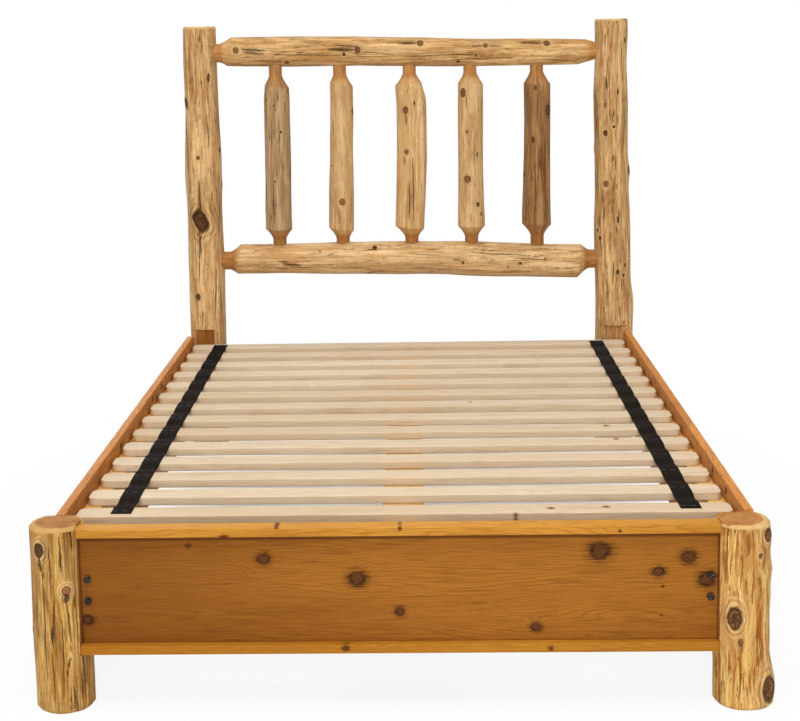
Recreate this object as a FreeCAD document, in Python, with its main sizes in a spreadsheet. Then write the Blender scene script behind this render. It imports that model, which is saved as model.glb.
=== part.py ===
# Rustic log bed: a headboard of peeled logs, a foot board between notched log posts,
# side rails with ledgers, and a mat of slats held together by two webbing straps.
# Frame: +X to the right seen from the foot, +Y towards the head, +Z up, in millimetres.
# The origin is on the floor, under the middle of the bed, at the foot of the centre leg.
import FreeCAD, Part
import math
import os
import re
import Sketcher

SIZES = {
    # the space for the mattress
    "inner_width": 1404,  # between the side rails
    "inner_length": 1945,  # from the foot board's back to the rails' head ends
    # side rails, and what is fixed along them
    "rail_thickness": 20,
    "rail_height": 286,
    "rail_bottom": 105,
    "rail_edge_radius": 3,
    "rail_end_radius": 12,
    "ledger_side": 38,
    "board_edge_radius": 2,
    # slats
    "slat_count": 14,
    "slat_width": 63.5,
    "slat_thickness": 19,
    "slat_end_gap": 7,  # from a slat's end to the side rail
    "slat_corner_radius": 16,
    "slat_edge_radius": 2.5,
    "head_slat_gap": 35,  # from the rails' head ends to the first slat
    "foot_slat_gap": 104.5,  # from the foot board's back to the last slat
    "platform_drop": 23,  # from the rails' top to the slats' top
    # webbing straps and their staples
    "strap_width": 44.5,
    "strap_thickness": 1.6,
    "strap_inset": 97,  # from the side rail to the strap's middle
    "strap_dip": 4,  # how far the webbing sags between two slats
    "right_strap_slant": 4,  # how far inward the right strap runs towards the head
    "staple_crown": 10,
    "staple_wire": 1.2,
    "staple_leg": 7,
    "staple_spread": 22,  # between the two staples side by side
    # head posts
    "head_post_inset": 38,  # from the side rail's inner face in to the post's middle
    "head_shift": 6,  # how far the headboard sits off the rails' middle
    "head_post_height": 1394,
    "head_post_radius": 57,
    "head_seat_inset": 15,  # how far the flat seat is cut into the round
    "head_seat_reach": 12,  # how far the seat passes the post's middle inward
    "head_seat_gap": 21,  # from the side rail's top to the top of the seat
    "log_chamfer": 5,
    # headboard rails
    "top_rail_drop": 93,  # from the posts' tops to the rail's middle
    "top_rail_radius": 46,
    "top_rail_tilt": 7.5,  # how far the left end lies above the middle
    "bottom_rail_height": 627,
    "bottom_rail_radius": 51,
    "bottom_rail_tilt": 6,
    "rail_tenon_radius": 29.5,
    "rail_tenon_setback": 15,  # from the post's middle to the tenon's end
    "top_rail_left_neck": 4,  # round neck that shows beside the post
    "top_rail_left_taper": 46,
    "top_rail_right_neck": 4,
    "top_rail_right_taper": 34,
    "bottom_rail_left_neck": 28,
    "bottom_rail_left_taper": 20,
    "bottom_rail_right_neck": 8,
    "bottom_rail_right_taper": 24,
    # headboard spindles
    "spindle_radius": 42,
    "spindle_tenon_radius": 24.5,
    "spindle_tenon_setback": 14,  # from the rail's middle to the tenon's end
    "spindle_neck": 20,  # round neck that shows beside the rail
    "spindle_taper": 38,
    "tenon_clearance": 0.3,
    # foot posts
    "foot_post_inset": 7,  # from the side rail's inner face in to the post's middle
    "foot_shift": -10.5,  # how far the foot sits off the rails' middle
    "left_post_stand": 6,  # how far the post stands above the cap
    "right_post_stand": 1,
    "foot_post_radius": 58,
    "foot_notch_inset": 14.5,  # how far the notch for the board is cut into the round
    "foot_flat_inset": 13,  # how far the flat back is cut into the round
    # foot board with the strips above and below it
    "foot_strip_rise": 14,  # from the side rails' underside to the bottom strip's
    "strip_thickness": 19,
    "strip_depth": 38,
    "foot_board_height": 229,
    "foot_board_thickness": 19,
    "board_end_clearance": 0.5,
    # blocks inside the rail ends
    "block_thickness": 38,
    "foot_block_margin": 22.5,  # from the bolts to the block's inner edge
    "block_height": 200,
    "block_drop": 4,  # from the slats' underside to the blocks' top
    # what carries the slats along the middle
    "beam_width": 89,
    "beam_thickness": 38,
    "leg_thickness": 38,
    "head_cross_height": 89,
    "head_cross_thickness": 38,
    "head_cross_setback": 110,  # from the rails' head ends to its middle
    "cleat_length": 150,
    # bolts, lag bolts, nuts and washers
    "bolt_radius": 4.75,
    "bolt_flats": 14.3,
    "bolt_head_height": 6.4,
    "bolt_spacing": 46,
    "bolt_inset": 16,  # from the foot board's end
    "bolt_tip": 4,  # thread that shows past the nut
    "nut_height": 8,
    "washer_radius": 11,
    "washer_thickness": 2,
    "lag_depth": 50,  # into the head post
    "lag_spacing": 100,
    # screws and nails
    "screw_radius": 2.1,
    "screw_head_radius": 4.2,
    "screw_head_height": 2.5,
    "ledger_screw_bite": 12,  # how far the screw goes into the side rail
    "ledger_screw_count": 6,  # in each ledger
    "ledger_screw_inset": 60,
    "rail_screw_bite": 30,  # how far the screw goes into the block or the cross rail
    "rail_screw_spacing": 52,
    "cross_screw_spacing": 34,
    "beam_screw_bite": 35,
    "beam_screw_spacing": 36,
    "cleat_screw_spacing": 90,
    "nail_radius": 0.9,
    "nail_bite": 22,
    "nail_count": 5,  # in each strip
    "nail_inset": 80,
    "nail_set": 1,  # how far a nail's end lies under the surface
    "hole_clearance": 0.2,
    "log_hole_clearance": 0.6,
    "overrun": 5,  # how far a cut passes the surface
}

PLACES = {
    "head_post_spacing": "inner_width - 2 * head_post_inset",
    "foot_post_spacing": "inner_width - 2 * foot_post_inset",
    "head_seat_depth": "head_post_radius - head_seat_inset",
    "foot_flat_depth": "foot_post_radius - foot_flat_inset",
    "foot_notch_offset": "foot_post_radius - foot_notch_inset",
    "rail_top": "rail_bottom + rail_height",
    "head_seat_top": "rail_top + head_seat_gap",
    "top_rail_height": "head_post_height - top_rail_drop",
    "slat_top": "rail_top - platform_drop",
    "slat_bottom": "slat_top - slat_thickness",
    "ledger_bottom": "slat_bottom - ledger_side",
    "block_top": "slat_bottom - block_drop",
    "block_bottom": "block_top - block_height",
    "block_middle": "(block_top + block_bottom) / 2",
    "foot_plane": "-inner_length / 2",
    "head_plane": "inner_length / 2",
    "rail_foot_end": "foot_plane + foot_flat_depth",
    "rail_length": "head_plane - rail_foot_end",
    "head_post_y": "head_plane + head_seat_depth",
    "slat_length": "inner_width - 2 * slat_end_gap",
    "slat_pitch": "(inner_length - head_slat_gap - foot_slat_gap - slat_width) / (slat_count - 1)",
    "first_slat_y": "head_plane - head_slat_gap - slat_width / 2",
    "foot_strip_bottom": "rail_bottom + foot_strip_rise",
    "foot_board_bottom": "foot_strip_bottom + strip_thickness",
    "foot_board_top": "foot_board_bottom + foot_board_height",
    "foot_cap_top": "foot_board_top + strip_thickness",
    "foot_post_left_height": "foot_cap_top + left_post_stand",
    "foot_post_right_height": "foot_cap_top + right_post_stand",
    "foot_board_middle": "(foot_board_bottom + foot_board_top) / 2",
    "foot_board_length": "foot_post_spacing - 2 * foot_notch_offset - 2 * board_end_clearance",
    "foot_bolt_x": "foot_board_length / 2 - bolt_inset",
    "foot_block_width": "inner_width / 2 - foot_bolt_x - foot_shift + foot_block_margin",
    "ledger_start": "rail_foot_end + block_thickness",
    "ledger_end": "head_plane - block_thickness",
    "ledger_length": "ledger_end - ledger_start",
    "ledger_x": "(inner_width - ledger_side) / 2",
    "head_cross_y": "head_plane - head_cross_setback",
    "beam_bottom": "slat_bottom - beam_thickness",
    "beam_end": "head_cross_y + head_cross_thickness / 2",
    "beam_length": "beam_end - foot_plane",
    "cleat_y": "foot_plane + ledger_side / 2",
    "post_reach": "head_post_radius + foot_post_radius",
    "spindle_start": "bottom_rail_height + spindle_tenon_setback",
    "spindle_length": "top_rail_height - spindle_tenon_setback - spindle_start",
    "spindle_foot_neck": "bottom_rail_radius - spindle_tenon_setback + spindle_neck",
    "spindle_head_neck": "top_rail_radius - spindle_tenon_setback + spindle_neck",
    "head_rail_length": "head_post_spacing - 2 * rail_tenon_setback",
    "tenon_length": "head_post_radius - rail_tenon_setback",
    "hexagon_radius": "bolt_flats / sqrt(3)",
    "ledger_screw_length": "ledger_side + ledger_screw_bite",
    "rail_screw_length": "rail_thickness + rail_screw_bite",
    "beam_screw_length": "beam_thickness - screw_head_height - hole_clearance + beam_screw_bite",
    "nail_length": "strip_thickness - nail_set + nail_bite",
}

# Sections of the upright logs: share of the height, share of the radius,
# and how far the log's middle wanders across and back, as shares of the radius.
HEAD_POST_SHARES = {
    "left": ((0, 1.03, -0.05, 0), (0.3, 1.02, -0.01, 0.02), (0.4, 1.01, 0.03, 0.03), (0.6, 1, 0.03, 0.02),
             (0.72, 1.03, 0.03, 0), (0.84, 0.94, 0.06, -0.02), (0.97, 0.93, 0.05, -0.01), (1, 0.91, 0.05, 0)),
    "right": ((0, 1.07, 0.08, 0), (0.28, 1.06, 0.07, 0), (0.34, 1.08, 0.09, 0), (0.4, 1.03, 0.03, 0.02),
              (0.54, 1.02, -0.03, 0.02), (0.6, 0.96, -0.04, 0.01), (0.7, 0.955, -0.1, 0),
              (0.84, 0.95, -0.16, 0), (0.9, 0.9, -0.16, 0), (0.97, 0.92, -0.1, 0), (1, 0.9, -0.12, 0)),
}
FOOT_POST_SHARES = {
    "left": ((0, 1.03, 0.02, 0), (0.35, 1.03, -0.01, 0.01), (0.57, 0.985, -0.055, 0.01), (0.72, 0.985, -0.055, 0),
             (1, 0.96, -0.05, 0)),
    "right": ((0, 1.04, 0.2, 0), (0.1, 1.05, 0.19, 0), (0.18, 1.02, 0.16, 0), (0.25, 1, 0.14, 0),
              (0.35, 1.02, 0.08, 0), (0.5, 1, 0.06, 0), (0.6, 1.01, 0.1, 0), (0.7, 1.02, 0.12, 0.01),
              (0.79, 0.99, 0.09, 0), (0.9, 1.03, 0.1, 0), (1, 0.97, 0.07, 0)),
}

# Sections of the level logs' bodies: share of the way between the tapers,
# share of the radius, and how far the middle wanders back and up.
TOP_RAIL_SHARES = ((0, 1.08, 0, 0.15), (0.3, 1.03, 0.02, 0.08), (0.6, 0.98, 0, -0.04), (1, 0.93, 0, -0.15))
BOTTOM_RAIL_SHARES = ((0, 0.94, 0, 0.1), (0.25, 1, 0.02, 0.14), (0.42, 1.05, 0, 0.14),
                      (0.6, 1.07, 0, 0.1), (0.78, 1.08, 0, -0.02), (1, 1.08, 0, -0.18))

# The spindles from left to right: place as a share of half the posts' spacing, then sections of
# the body as share of its length, share of the radius and how far the middle wanders across.
SPINDLE_SHARES = (
    (-0.632, ((0, 1.01, -0.04), (0.5, 0.98, 0), (0.9, 1, 0.07), (1, 0.93, 0.09))),
    (-0.32, ((0, 0.97, -0.1), (0.25, 0.97, -0.06), (0.5, 0.89, 0.02), (0.9, 0.89, 0.1), (1, 0.9, 0.08))),
    (0.018, ((0, 1.12, -0.16), (0.2, 1.16, -0.02), (0.55, 1.16, 0.12), (0.9, 1.15, 0.1), (1, 1, -0.12))),
    (0.311, ((0, 1.05, 0), (0.25, 1.01, -0.01), (0.55, 0.97, -0.01), (1, 0.96, 0.03))),
    (0.632, ((0, 1.12, -0.04), (0.25, 1.04, -0.04), (0.55, 1, 0.02), (1, 1, 0.04))),
)

SIDES = {"left": -1, "right": 1}

doc = FreeCAD.newDocument("RusticLogBed")
sheet = doc.addObject("Spreadsheet::Sheet", "Sizes")
nodes = []


def fill_sheet():
    """Writes the driving sizes as plain numbers, and below them the places worked out from them."""
    rows = [(name, str(number)) for name, number in SIZES.items()]
    rows += [(name, "=" + formula) for name, formula in PLACES.items()]
    for row, (name, content) in enumerate(rows, 1):
        sheet.set("A%d" % row, "'" + name)
        sheet.set("B%d" % row, content)
        sheet.setAlias("B%d" % row, name)
    doc.recompute()


def on_sheet(formula):
    """The formula with each cell's name led by the sheet's name."""
    return re.sub(r"\b[a-z][a-z_0-9]*\b(?!\()", lambda word: "Sizes." + word.group(0), str(formula))


def value(formula):
    return float(sheet.evalExpression(on_sheet(formula)))


def bind(target, name, formula):
    if str(formula) == "0":
        return
    target.setExpression(name, on_sheet(formula))


def new_body(label, x="0", y="0", z="0"):
    body = doc.addObject("PartDesign::Body", label)
    body.Label = label
    for axis, formula in (("x", x), ("y", y), ("z", z)):
        bind(body, "Placement.Base." + axis, formula)
    nodes.append(body)
    return body


def sketch_on(body, role, offset):
    """A sketch on the body's origin plane, moved by offset along the row axis the plane faces."""
    sketch = body.newObject("Sketcher::SketchObject", body.Name + "Sketch")
    plane = next(item for item in body.Origin.OriginFeatures if item.Role == role)
    sketch.AttachmentSupport = (plane, "")
    sketch.MapMode = "FlatFace"
    bind(sketch, "AttachmentOffset.Base.z", "-(%s)" % offset if role == "XZ_Plane" else offset)
    return sketch


def pin_point(sketch, shape, point, across, up):
    """Ties a point of the sketch to its place from the origin."""
    for kind, formula, axis in (("DistanceX", across, -2), ("DistanceY", up, -1)):
        if str(formula) == "0":
            sketch.addConstraint(Sketcher.Constraint("PointOnObject", shape, point, axis))
            continue
        number = sketch.addConstraint(Sketcher.Constraint(kind, -1, 1, shape, point, value(formula)))
        bind(sketch, "Constraints[%d]" % number, formula)


def add_circle(sketch, across, up, radius):
    middle = FreeCAD.Vector(value(across), value(up), 0)
    shape = sketch.addGeometry(Part.Circle(middle, FreeCAD.Vector(0, 0, 1), value(radius)), False)
    pin_point(sketch, shape, 3, across, up)
    number = sketch.addConstraint(Sketcher.Constraint("Radius", shape, value(radius)))
    bind(sketch, "Constraints[%d]" % number, radius)


def add_outline(sketch, corners):
    """A closed outline of straight lines through corners, each a pair of formulas."""
    points = [FreeCAD.Vector(value(across), value(up), 0) for across, up in corners]
    for start, end in zip(points, points[1:] + points[:1]):
        sketch.addGeometry(Part.LineSegment(start, end), False)
    for shape, (across, up) in enumerate(corners):
        before = (shape - 1) % len(corners)
        sketch.addConstraint(Sketcher.Constraint("Coincident", before, 2, shape, 1))
        pin_point(sketch, shape, 1, across, up)


def add_rectangle(sketch, left, right, low, high):
    add_outline(sketch, ((left, low), (right, low), (right, high), (left, high)))


def cut_between(body, sketch, depth):
    """Cuts the sketch's outline out of the body, half of depth to each side of the sketch."""
    pocket = body.newObject("PartDesign::Pocket", body.Name + "Cut")
    pocket.Profile = sketch
    pocket.Midplane = True
    bind(pocket, "Length", depth)
    return pocket


def drill(body, role, holes, radius, near, far):
    """Round holes square to the plane, from near to far along the row axis that it faces."""
    sketch = sketch_on(body, role, "((%s) + (%s)) / 2" % (near, far))
    for across, up in holes:
        add_circle(sketch, across, up, radius)
    return cut_between(body, sketch, "(%s) - (%s)" % (far, near))


def cut_box(body, x_pair, y_pair, z_pair):
    sketch = sketch_on(body, "XY_Plane", "((%s) + (%s)) / 2" % z_pair)
    add_rectangle(sketch, *x_pair, *y_pair)
    return cut_between(body, sketch, "(%s) - (%s)" % (z_pair[1], z_pair[0]))


def runs_along(edge, axis):
    """Whether a straight edge runs along the axis x, y or z."""
    if not isinstance(edge.Curve, Part.Line):
        return False
    return round(abs(getattr(edge.Curve.Direction, axis)), 6) == 1


def edges_where(feature, test):
    return ["Edge%d" % number for number, edge in enumerate(feature.Shape.Edges, 1) if test(edge)]


def round_edges(body, base, test, radius):
    doc.recompute()
    fillet = body.newObject("PartDesign::Fillet", body.Name + "Round")
    fillet.Base = (base, edges_where(base, test))
    bind(fillet, "Radius", radius)
    return fillet


def board(label, size, place, edge_radius, long_axis):
    """A sawn board, centred across and along on its place, with its long edges eased."""
    body = new_body(label, *place)
    sketch = sketch_on(body, "XY_Plane", "0")
    width, depth, height = size
    add_rectangle(sketch, "-(%s) / 2" % width, "(%s) / 2" % width, "-(%s) / 2" % depth, "(%s) / 2" % depth)
    pad = body.newObject("PartDesign::Pad", label + "Pad")
    pad.Profile = sketch
    bind(pad, "Length", height)
    round_edges(body, pad, lambda edge: runs_along(edge, long_axis), edge_radius)
    return body


def log(label, role, sections, place):
    """A peeled log: a ruled loft through circles, each given by its distance, radius and middle."""
    body = new_body(label, *place)
    rings = []
    for distance, radius, across, up in sections:
        ring = sketch_on(body, role, distance)
        add_circle(ring, across, up, radius)
        rings.append(ring)
    loft = body.newObject("PartDesign::AdditiveLoft", label + "Loft")
    loft.Profile = rings[0]
    loft.Sections = rings[1:]
    loft.Ruled = True
    return body


def upright_sections(height, radius, shares):
    """An upright log's sections, with a chamfer round its foot and its top."""
    sections = []
    for along, girth, across, back in shares:
        steps = [("0", "0")]
        if along == 0:
            steps = [("0", "log_chamfer"), ("log_chamfer", "0")]
        if along == 1:
            steps = [("-log_chamfer", "0"), ("0", "log_chamfer")]
        for rise, inset in steps:
            sections.append(
                ("%s * %s + %s" % (height, along, rise), "%s * %s - %s" % (radius, girth, inset),
                 "%s * %s" % (radius, across), "%s * %s" % (radius, back))
            )
    return sections


def level_sections(name, shares):
    """A level log's sections: a round tenon, a neck, a taper, the body and the same again."""
    radius, tilt = name + "_radius", name + "_tilt"
    left, right = "-head_rail_length / 2", "head_rail_length / 2"
    left_shoulder = "%s + tenon_length + %s_left_neck" % (left, name)
    right_shoulder = "%s - tenon_length - %s_right_neck" % (right, name)
    start = "%s + %s_left_taper" % (left_shoulder, name)
    length = "(%s - %s_right_taper - (%s))" % (right_shoulder, name, start)
    tenon = "rail_tenon_radius"
    sections = [(left, tenon, "0", tilt), (left_shoulder, tenon, "0", tilt)]
    for along, girth, back, up in shares:
        sections.append(
            ("%s + %s * %s" % (start, length, along), "%s * %s" % (radius, girth),
             "%s * %s" % (radius, back), "%s * %s" % (radius, up))
        )
    sections += [(right_shoulder, tenon, "0", "-" + tilt), (right, tenon, "0", "-" + tilt)]
    return sections


def group(label, shapes):
    """Identical pieces as one node of separate solids."""
    feature = doc.addObject("Part::Feature", label)
    feature.Label = label
    feature.Shape = Part.makeCompound(shapes)
    nodes.append(feature)
    return feature


def evenly(count, start, end):
    """Formulas for count places from start to end, both ends counted."""
    steps = max(count - 1, 1)
    return ["(%s) + ((%s) - (%s)) * %d / %d" % (start, end, start, step, steps) for step in range(count)]


def hexagon_prism(height):
    corners = [
        FreeCAD.Vector(math.cos(turn), math.sin(turn), 0) * value("hexagon_radius")
        for turn in (math.radians(60 * corner) for corner in range(7))
    ]
    return Part.Face(Part.makePolygon(corners)).extrude(FreeCAD.Vector(0, 0, height))


def bolt_shape(shank_length):
    """A hexagon bolt that points down -Z, the underside of its head at the origin."""
    head = hexagon_prism(value("bolt_head_height"))
    shank = Part.makeCylinder(value("bolt_radius"), shank_length)
    shank.translate(FreeCAD.Vector(0, 0, -shank_length))
    return head.fuse(shank).removeSplitter()


def screw_shape(length):
    """A screw that points down -Z, the underside of its flat head at the origin."""
    head = Part.makeCylinder(value("screw_head_radius"), value("screw_head_height"))
    shank = Part.makeCylinder(value("screw_radius"), length)
    shank.translate(FreeCAD.Vector(0, 0, -length))
    return head.fuse(shank).removeSplitter()


def ring_shape(outer, inner, height):
    return Part.makeCylinder(outer, height).cut(Part.makeCylinder(inner, height))


def set_along(shape, outward, x, y, z):
    """A copy of the shape with its +Z turned to outward and its origin at the place given."""
    copy = shape.copy()
    turn = FreeCAD.Rotation(FreeCAD.Vector(0, 0, 1), FreeCAD.Vector(*outward))
    copy.Placement = FreeCAD.Placement(FreeCAD.Vector(value(x), value(y), value(z)), turn)
    return copy


def signed(sign, formula):
    return formula if sign > 0 else "-(%s)" % formula


def make_head_post(side):
    sign = SIDES[side]
    sections = upright_sections("head_post_height", "head_post_radius", HEAD_POST_SHARES[side])
    place = ("head_shift + %d * head_post_spacing / 2" % sign, "head_post_y", "0")
    body = log("head_post_" + side, "XY_Plane", sections, place)
    outer, inner = signed(sign, "post_reach"), signed(-sign, "head_seat_reach")
    x_pair = (outer, inner) if sign < 0 else (inner, outer)
    cut_box(body, x_pair, ("-post_reach", "-head_seat_depth"), ("rail_bottom", "head_seat_top"))
    mortise = ["rail_tenon_setback - tenon_clearance", "post_reach"]
    near, far = mortise if sign < 0 else [signed(-1, formula) for formula in reversed(mortise)]
    holes = [("0", "%s_height - %d * %s_tilt" % (name, sign, name)) for name in ("top_rail", "bottom_rail")]
    drill(body, "YZ_Plane", holes, "rail_tenon_radius + tenon_clearance", near, far)
    lag_x = "%d * (ledger_x - head_post_spacing / 2) - head_shift" % sign
    holes = [(lag_x, "block_middle + %d * lag_spacing / 2" % step) for step in (-1, 1)]
    drill(body, "XZ_Plane", holes, "bolt_radius + hole_clearance",
          "-head_seat_depth - overrun", "lag_depth - head_seat_depth + tenon_clearance")


def make_head_rail(name, shares, spindle_side):
    """A headboard rail; spindle_side is 1 where the spindles stand on it, -1 where they hang from it."""
    place = ("head_shift", "head_post_y", name + "_height")
    body = log("head_" + name, "YZ_Plane", level_sections(name, shares), place)
    holes = [("head_post_spacing / 2 * %s" % place_share, "0") for place_share, _ in SPINDLE_SHARES]
    mortise = ["spindle_tenon_setback - tenon_clearance", "%s_radius + 2 * overrun" % name]
    near, far = mortise if spindle_side > 0 else [signed(-1, formula) for formula in reversed(mortise)]
    drill(body, "XY_Plane", holes, "spindle_tenon_radius + tenon_clearance", near, far)


def make_spindle(number, place_share, shares):
    """An upright log with a round tenon, a neck and a taper at each end."""
    tenon = "spindle_tenon_radius"
    start = "spindle_foot_neck + spindle_taper"
    length = "(spindle_length - spindle_head_neck - spindle_taper - (%s))" % start
    sections = [("0", tenon, "0", "0"), ("spindle_foot_neck", tenon, "0", "0")]
    for along, girth, across in shares:
        sections.append(
            ("%s + %s * %s" % (start, length, along), "spindle_radius * %s" % girth,
             "spindle_radius * %s" % across, "0")
        )
    sections.append(("spindle_length - spindle_head_neck", tenon, "0", "0"))
    sections.append(("spindle_length", tenon, "0", "0"))
    place = ("head_shift + head_post_spacing / 2 * %s" % place_share, "head_post_y", "spindle_start")
    log("head_spindle_%d" % number, "XY_Plane", sections, place)


def make_foot_post(side):
    sign = SIDES[side]
    height = "foot_post_%s_height" % side
    sections = upright_sections(height, "foot_post_radius", FOOT_POST_SHARES[side])
    place = ("foot_shift + %d * foot_post_spacing / 2" % sign, "foot_plane", "0")
    body = log("foot_post_" + side, "XY_Plane", sections, place)
    notch = (signed(-sign, "foot_notch_offset"), signed(-sign, "post_reach"))
    x_pair = notch if sign < 0 else notch[::-1]
    cut_box(body, x_pair, ("-post_reach", "0"), ("foot_strip_bottom", height + " + overrun"))
    cut_box(body, ("-post_reach", "post_reach"), ("foot_flat_depth", "post_reach"),
            ("rail_bottom", height + " + overrun"))
    bolt_x = "%d * (foot_bolt_x - foot_post_spacing / 2)" % sign
    holes = [(bolt_x, "foot_board_middle + %d * bolt_spacing / 2" % step) for step in (-1, 1)]
    drill(body, "XZ_Plane", holes, "bolt_radius + log_hole_clearance", "-post_reach", "post_reach")


def strip_nail_places():
    end = "foot_board_length / 2 - nail_inset"
    return evenly(SIZES["nail_count"], "-(%s)" % end, end)


def make_foot_board():
    """The wide board with its bolt holes, and the nail holes in its two narrow edges."""
    y = "-foot_board_thickness / 2"
    board_place = ("foot_shift", "foot_plane - foot_board_thickness / 2", "foot_board_bottom")
    size = ("foot_board_length", "foot_board_thickness", "foot_board_height")
    body = board("foot_board", size, board_place, "board_edge_radius", "x")
    holes = [
        ("%d * foot_bolt_x" % sign, "foot_board_height / 2 + %d * bolt_spacing / 2" % step)
        for sign in SIDES.values()
        for step in (-1, 1)
    ]
    drill(body, "XZ_Plane", holes, "bolt_radius + hole_clearance", "-foot_board_thickness", "foot_board_thickness")
    holes = [(x, "0") for x in strip_nail_places()]
    nail_reach = "nail_length + nail_set - strip_thickness + hole_clearance"
    radius = "nail_radius + hole_clearance"
    drill(body, "XY_Plane", holes, radius, "-overrun", nail_reach)
    drill(body, "XY_Plane", holes, radius, "foot_board_height - (%s)" % nail_reach, "foot_board_height + overrun")
    holes = [("%d * cleat_screw_spacing / 2 - foot_shift" % step,
              "ledger_bottom - ledger_side / 2 - foot_board_bottom") for step in (-1, 1)]
    screw_reach = "ledger_screw_length - ledger_side + hole_clearance"
    drill(body, "XZ_Plane", holes, "screw_radius + hole_clearance",
          "-(%s) - (%s)" % (y, screw_reach), "foot_board_thickness / 2 + overrun")


def make_foot_strip(label, bottom):
    place = ("foot_shift", "foot_plane - strip_depth / 2", bottom)
    body = board(label, ("foot_board_length", "strip_depth", "strip_thickness"), place, "board_edge_radius", "x")
    nail_y = "(strip_depth - foot_board_thickness) / 2"
    holes = [(x, nail_y) for x in strip_nail_places()]
    drill(body, "XY_Plane", holes, "nail_radius + hole_clearance", "-overrun", "strip_thickness + overrun")


def rail_screw_places(side_part):
    """Heights of the screws through a side rail, by the piece that they hold."""
    if side_part == "cross":
        middle, spacing, steps = "ledger_bottom - head_cross_height / 2", "cross_screw_spacing", (-0.5, 0.5)
    else:
        middle, spacing, steps = "block_middle", "rail_screw_spacing", (-1.5, 0, 1.5)
    return ["%s + %s * %s" % (middle, spacing, step) for step in steps]


RAIL_SCREW_ROWS = (
    ("foot", "rail_foot_end + block_thickness / 2"),
    ("head", "head_plane - block_thickness / 2"),
    ("cross", "head_cross_y"),
)


def ledger_screw_places():
    inset = "ledger_screw_inset"
    return evenly(SIZES["ledger_screw_count"], "ledger_start + " + inset, "ledger_end - " + inset)


def make_side_rail(side):
    """A board on edge: eased edges, a rounded top corner at the head, and the screws' holes."""
    sign = SIDES[side]
    place = ("%d * (inner_width + rail_thickness) / 2" % sign, "(rail_foot_end + head_plane) / 2", "rail_bottom")
    body = new_body("side_rail_" + side, *place)
    sketch = sketch_on(body, "XY_Plane", "0")
    add_rectangle(sketch, "-rail_thickness / 2", "rail_thickness / 2", "-rail_length / 2", "rail_length / 2")
    pad = body.newObject("PartDesign::Pad", body.Name + "Pad")
    pad.Profile = sketch
    bind(pad, "Length", "rail_height")
    height = value("rail_height")

    def is_head_corner(edge):
        middle = edge.CenterOfMass
        return runs_along(edge, "x") and middle.y > 0 and middle.z > height / 2

    corner = round_edges(body, pad, is_head_corner, "rail_end_radius")
    round_edges(body, corner, lambda edge: runs_along(edge, "y"), "rail_edge_radius")
    middle_y = "(rail_foot_end + head_plane) / 2"
    holes = [
        ("%s - %s" % (y, middle_y), "%s - rail_bottom" % z)
        for name, y in RAIL_SCREW_ROWS
        for z in rail_screw_places(name)
    ]
    radius = "screw_radius + hole_clearance"
    drill(body, "YZ_Plane", holes, radius, "-rail_thickness", "rail_thickness")
    ledger_height = "ledger_bottom + ledger_side / 2 - rail_bottom"
    holes = [("%s - %s" % (y, middle_y), ledger_height) for y in ledger_screw_places()]
    reach = "ledger_screw_length - ledger_side + hole_clearance"
    inner_face, outer_end = "rail_thickness / 2 + overrun", "rail_thickness / 2 - (%s)" % reach
    if sign < 0:
        drill(body, "YZ_Plane", holes, radius, outer_end, inner_face)
    else:
        drill(body, "YZ_Plane", holes, radius, signed(-1, inner_face), signed(-1, outer_end))


def make_ledger(side):
    middle_y = "(ledger_start + ledger_end) / 2"
    place = ("%d * ledger_x" % SIDES[side], middle_y, "ledger_bottom")
    body = board("ledger_" + side, ("ledger_side", "ledger_length", "ledger_side"), place, "board_edge_radius", "y")
    holes = [("%s - %s" % (y, middle_y), "ledger_side / 2") for y in ledger_screw_places()]
    drill(body, "YZ_Plane", holes, "screw_radius + hole_clearance", "-ledger_side", "ledger_side")


def make_foot_block(side):
    """An upright block that the foot bolts pull against the post's flat back."""
    sign = SIDES[side]
    place = ("%d * (inner_width - foot_block_width) / 2" % sign, "rail_foot_end + block_thickness / 2", "block_bottom")
    size = ("foot_block_width", "block_thickness", "block_height")
    body = board("foot_block_" + side, size, place, "board_edge_radius", "z")
    bolt_x = "foot_shift + %d * foot_bolt_x - %d * (inner_width - foot_block_width) / 2" % (sign, sign)
    holes = [(bolt_x, "foot_board_middle - block_bottom + %d * bolt_spacing / 2" % step) for step in (-1, 1)]
    drill(body, "XZ_Plane", holes, "bolt_radius + hole_clearance", "-block_thickness", "block_thickness")
    drill_block_side(body, sign, "foot_block_width")


def drill_block_side(body, sign, width):
    """Blind holes for the screws that come through the side rail."""
    holes = [("0", "%s - block_bottom" % z) for z in rail_screw_places("block")]
    outside = "(%s) / 2 + overrun" % width
    inside = "(%s) / 2 + rail_thickness - rail_screw_length - hole_clearance" % width
    near, far = (inside, outside) if sign > 0 else (signed(-1, outside), signed(-1, inside))
    drill(body, "YZ_Plane", holes, "screw_radius + hole_clearance", near, far)


def make_head_block(side):
    """An upright block inside the rail, lag bolted to the flat seat of the head post."""
    sign = SIDES[side]
    place = ("%d * ledger_x" % sign, "head_plane - block_thickness / 2", "block_bottom")
    size = ("ledger_side", "block_thickness", "block_height")
    body = board("head_block_" + side, size, place, "board_edge_radius", "z")
    holes = [("0", "block_height / 2 + %d * lag_spacing / 2" % step) for step in (-1, 1)]
    drill(body, "XZ_Plane", holes, "bolt_radius + hole_clearance", "-block_thickness", "block_thickness")
    drill_block_side(body, sign, "ledger_side")


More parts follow.
